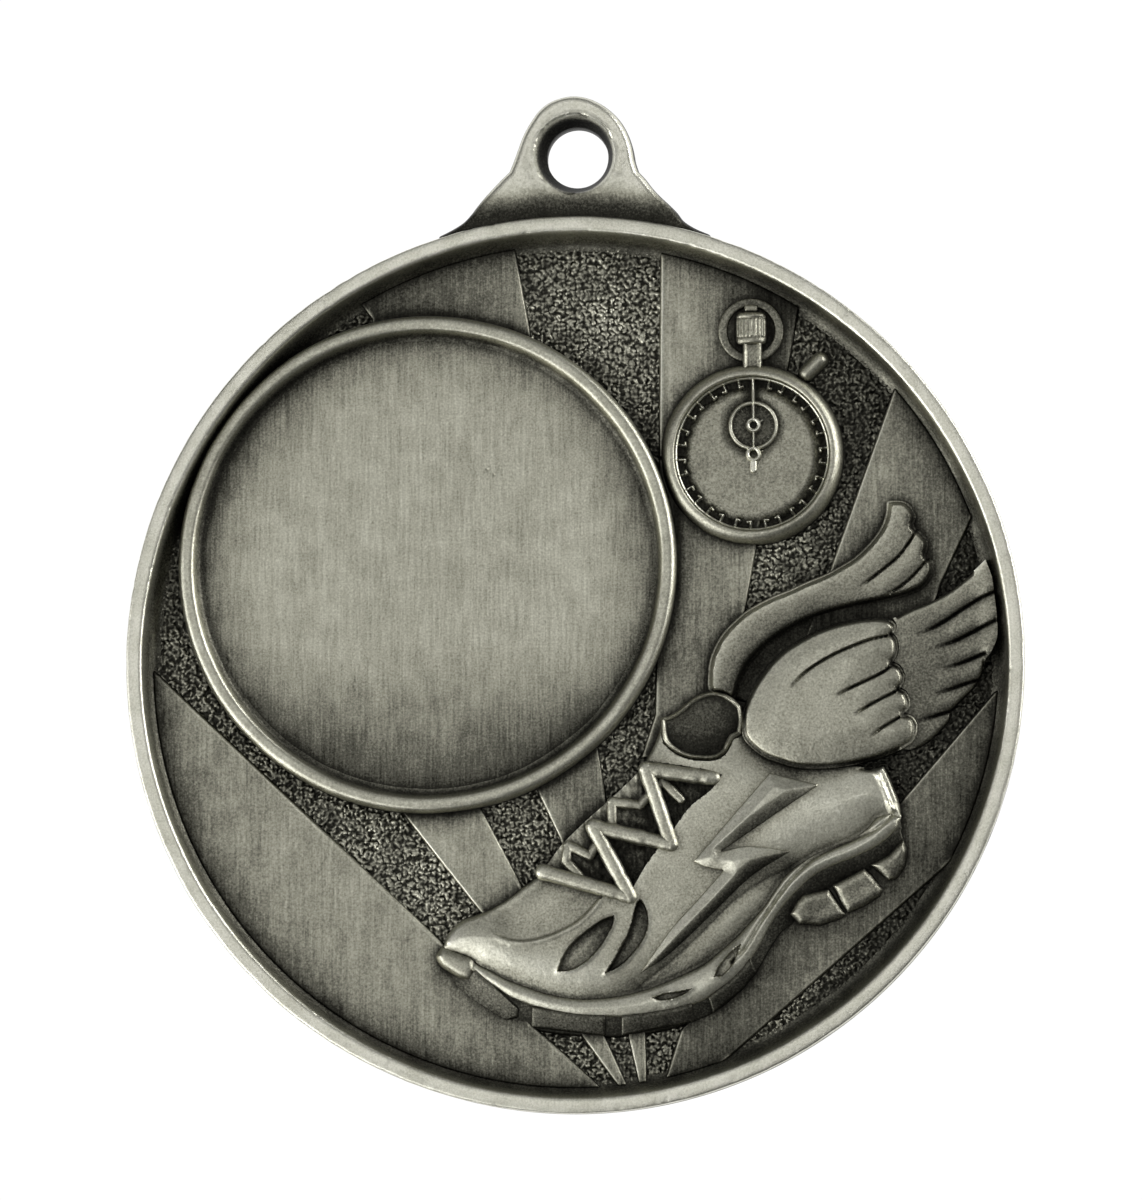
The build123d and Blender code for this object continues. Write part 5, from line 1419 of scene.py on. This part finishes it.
for p, g in ((0.25, 0.07), (0.5, 0.1), (0.64, 0.5), (0.76, 1.0)):
    q = rp.color_ramp.elements.new(p)
    q.color = (g, g, g * 0.99, 1)
nt.links.new(rp.outputs["Color"], bg.inputs["Color"])
bg.inputs["Strength"].default_value = 1.03
nt.links.new(bg.outputs[0], wo.inputs[0])

C = Vector((0, 0, -0.0285))


def area(name, direction, dist, sx, sz, radiance, tint=(1, 0.995, 0.98)):
    """Soft light that faces the medal from a direction."""
    d = Vector(direction).normalized()
    li = bpy.data.lights.new(name, "AREA")
    li.shape = "RECTANGLE"
    li.size, li.size_y = sx, sz
    li.energy = radiance * math.pi * sx * sz
    li.color = tint
    ob = bpy.data.objects.new(name, li)
    ob.location = C + d * dist
    ob.rotation_euler = (-d).to_track_quat("-Z", "Y").to_euler()
    scene.collection.objects.link(ob)
    return ob


def clock(a, tilt):
    """Direction at a clockwise angle from the top, leaning towards the front by tilt degrees above the face plane."""
    a, t = math.radians(a), math.radians(tilt)
    return (math.sin(a) * math.cos(t), -math.sin(t), math.cos(a) * math.cos(t))


area("front_fill", (-0.05, -1, 0.08), 0.75, 0.42, 0.42, 0.98)
area("side_right", clock(68, 14), 0.45, 0.16, 0.4, 7.0)
area("side_left", clock(247, 14), 0.45, 0.16, 0.4, 4.4)
area("top_soft", clock(345, 42), 0.6, 0.4, 0.28, 0.5)
area("left_soft", clock(265, 40), 0.6, 0.4, 0.4, 1.1)
area("low_soft", clock(216, 38), 0.6, 0.45, 0.4, 2.4)

floor_me = bpy.data.meshes.new("floor")
s = 3.0
floor_me.from_pydata([(-s, -s, -0.125), (s, -s, -0.125), (s, s, -0.125), (-s, s, -0.125)], [], [(0, 1, 2, 3)])
floor = bpy.data.objects.new("floor", floor_me)
scene.collection.objects.link(floor)
fm = bpy.data.materials.new("floor_paint")
fm.use_nodes = True
fb = fm.node_tree.nodes["Principled BSDF"]
fb.inputs["Roughness"].default_value = 0.9
fn = fm.node_tree.nodes.new("ShaderNodeTexNoise")
fn.inputs["Scale"].default_value = 8
fr = fm.node_tree.nodes.new("ShaderNodeValToRGB")
fr.color_ramp.elements[0].color = (0.78, 0.78, 0.77, 1)
fr.color_ramp.elements[1].color = (0.84, 0.84, 0.83, 1)
fm.node_tree.links.new(fn.outputs["Fac"], fr.inputs["Fac"])
fm.node_tree.links.new(fr.outputs["Color"], fb.inputs["Base Color"])
floor_me.materials.append(fm)
floor.visible_glossy = False

# ---------------------------------------------------------------- camera
F_PX = 7176.0
VX, VY = 960.0, 1226.0
phi = -math.atan((VY - 600) / F_PX)
q = (VX - 571.5) / F_PX * math.cos(phi)
c = 1 / math.sqrt(1 + q * q)
s = q * c
right_v = Vector((c, s, 0))
n_v = Vector((-s, c, 0))
back_v = -math.cos(phi) * n_v + math.sin(phi) * Vector((0, 0, 1))
up_v = math.sin(phi) * n_v + math.cos(phi) * Vector((0, 0, 1))
cam = bpy.data.cameras.new("camera")
cam.sensor_fit = "HORIZONTAL"
cam.sensor_width = 36
cam.lens = 36 * F_PX / 1143
cam.clip_start = 0.01
cam.clip_end = 20
cam_ob = bpy.data.objects.new("camera", cam)
cam_ob.matrix_world = Matrix(
    (
        (right_v.x, up_v.x, back_v.x, 0),
        (right_v.y, up_v.y, back_v.y, 0),
        (right_v.z, up_v.z, back_v.z, 0),
        (0, 0, 0, 1),
    )
)
cam_ob.location = C + (-0.198 * right_v + 3.61 * up_v + 400 * back_v) * 1e-3
scene.collection.objects.link(cam_ob)
scene.camera = cam_ob
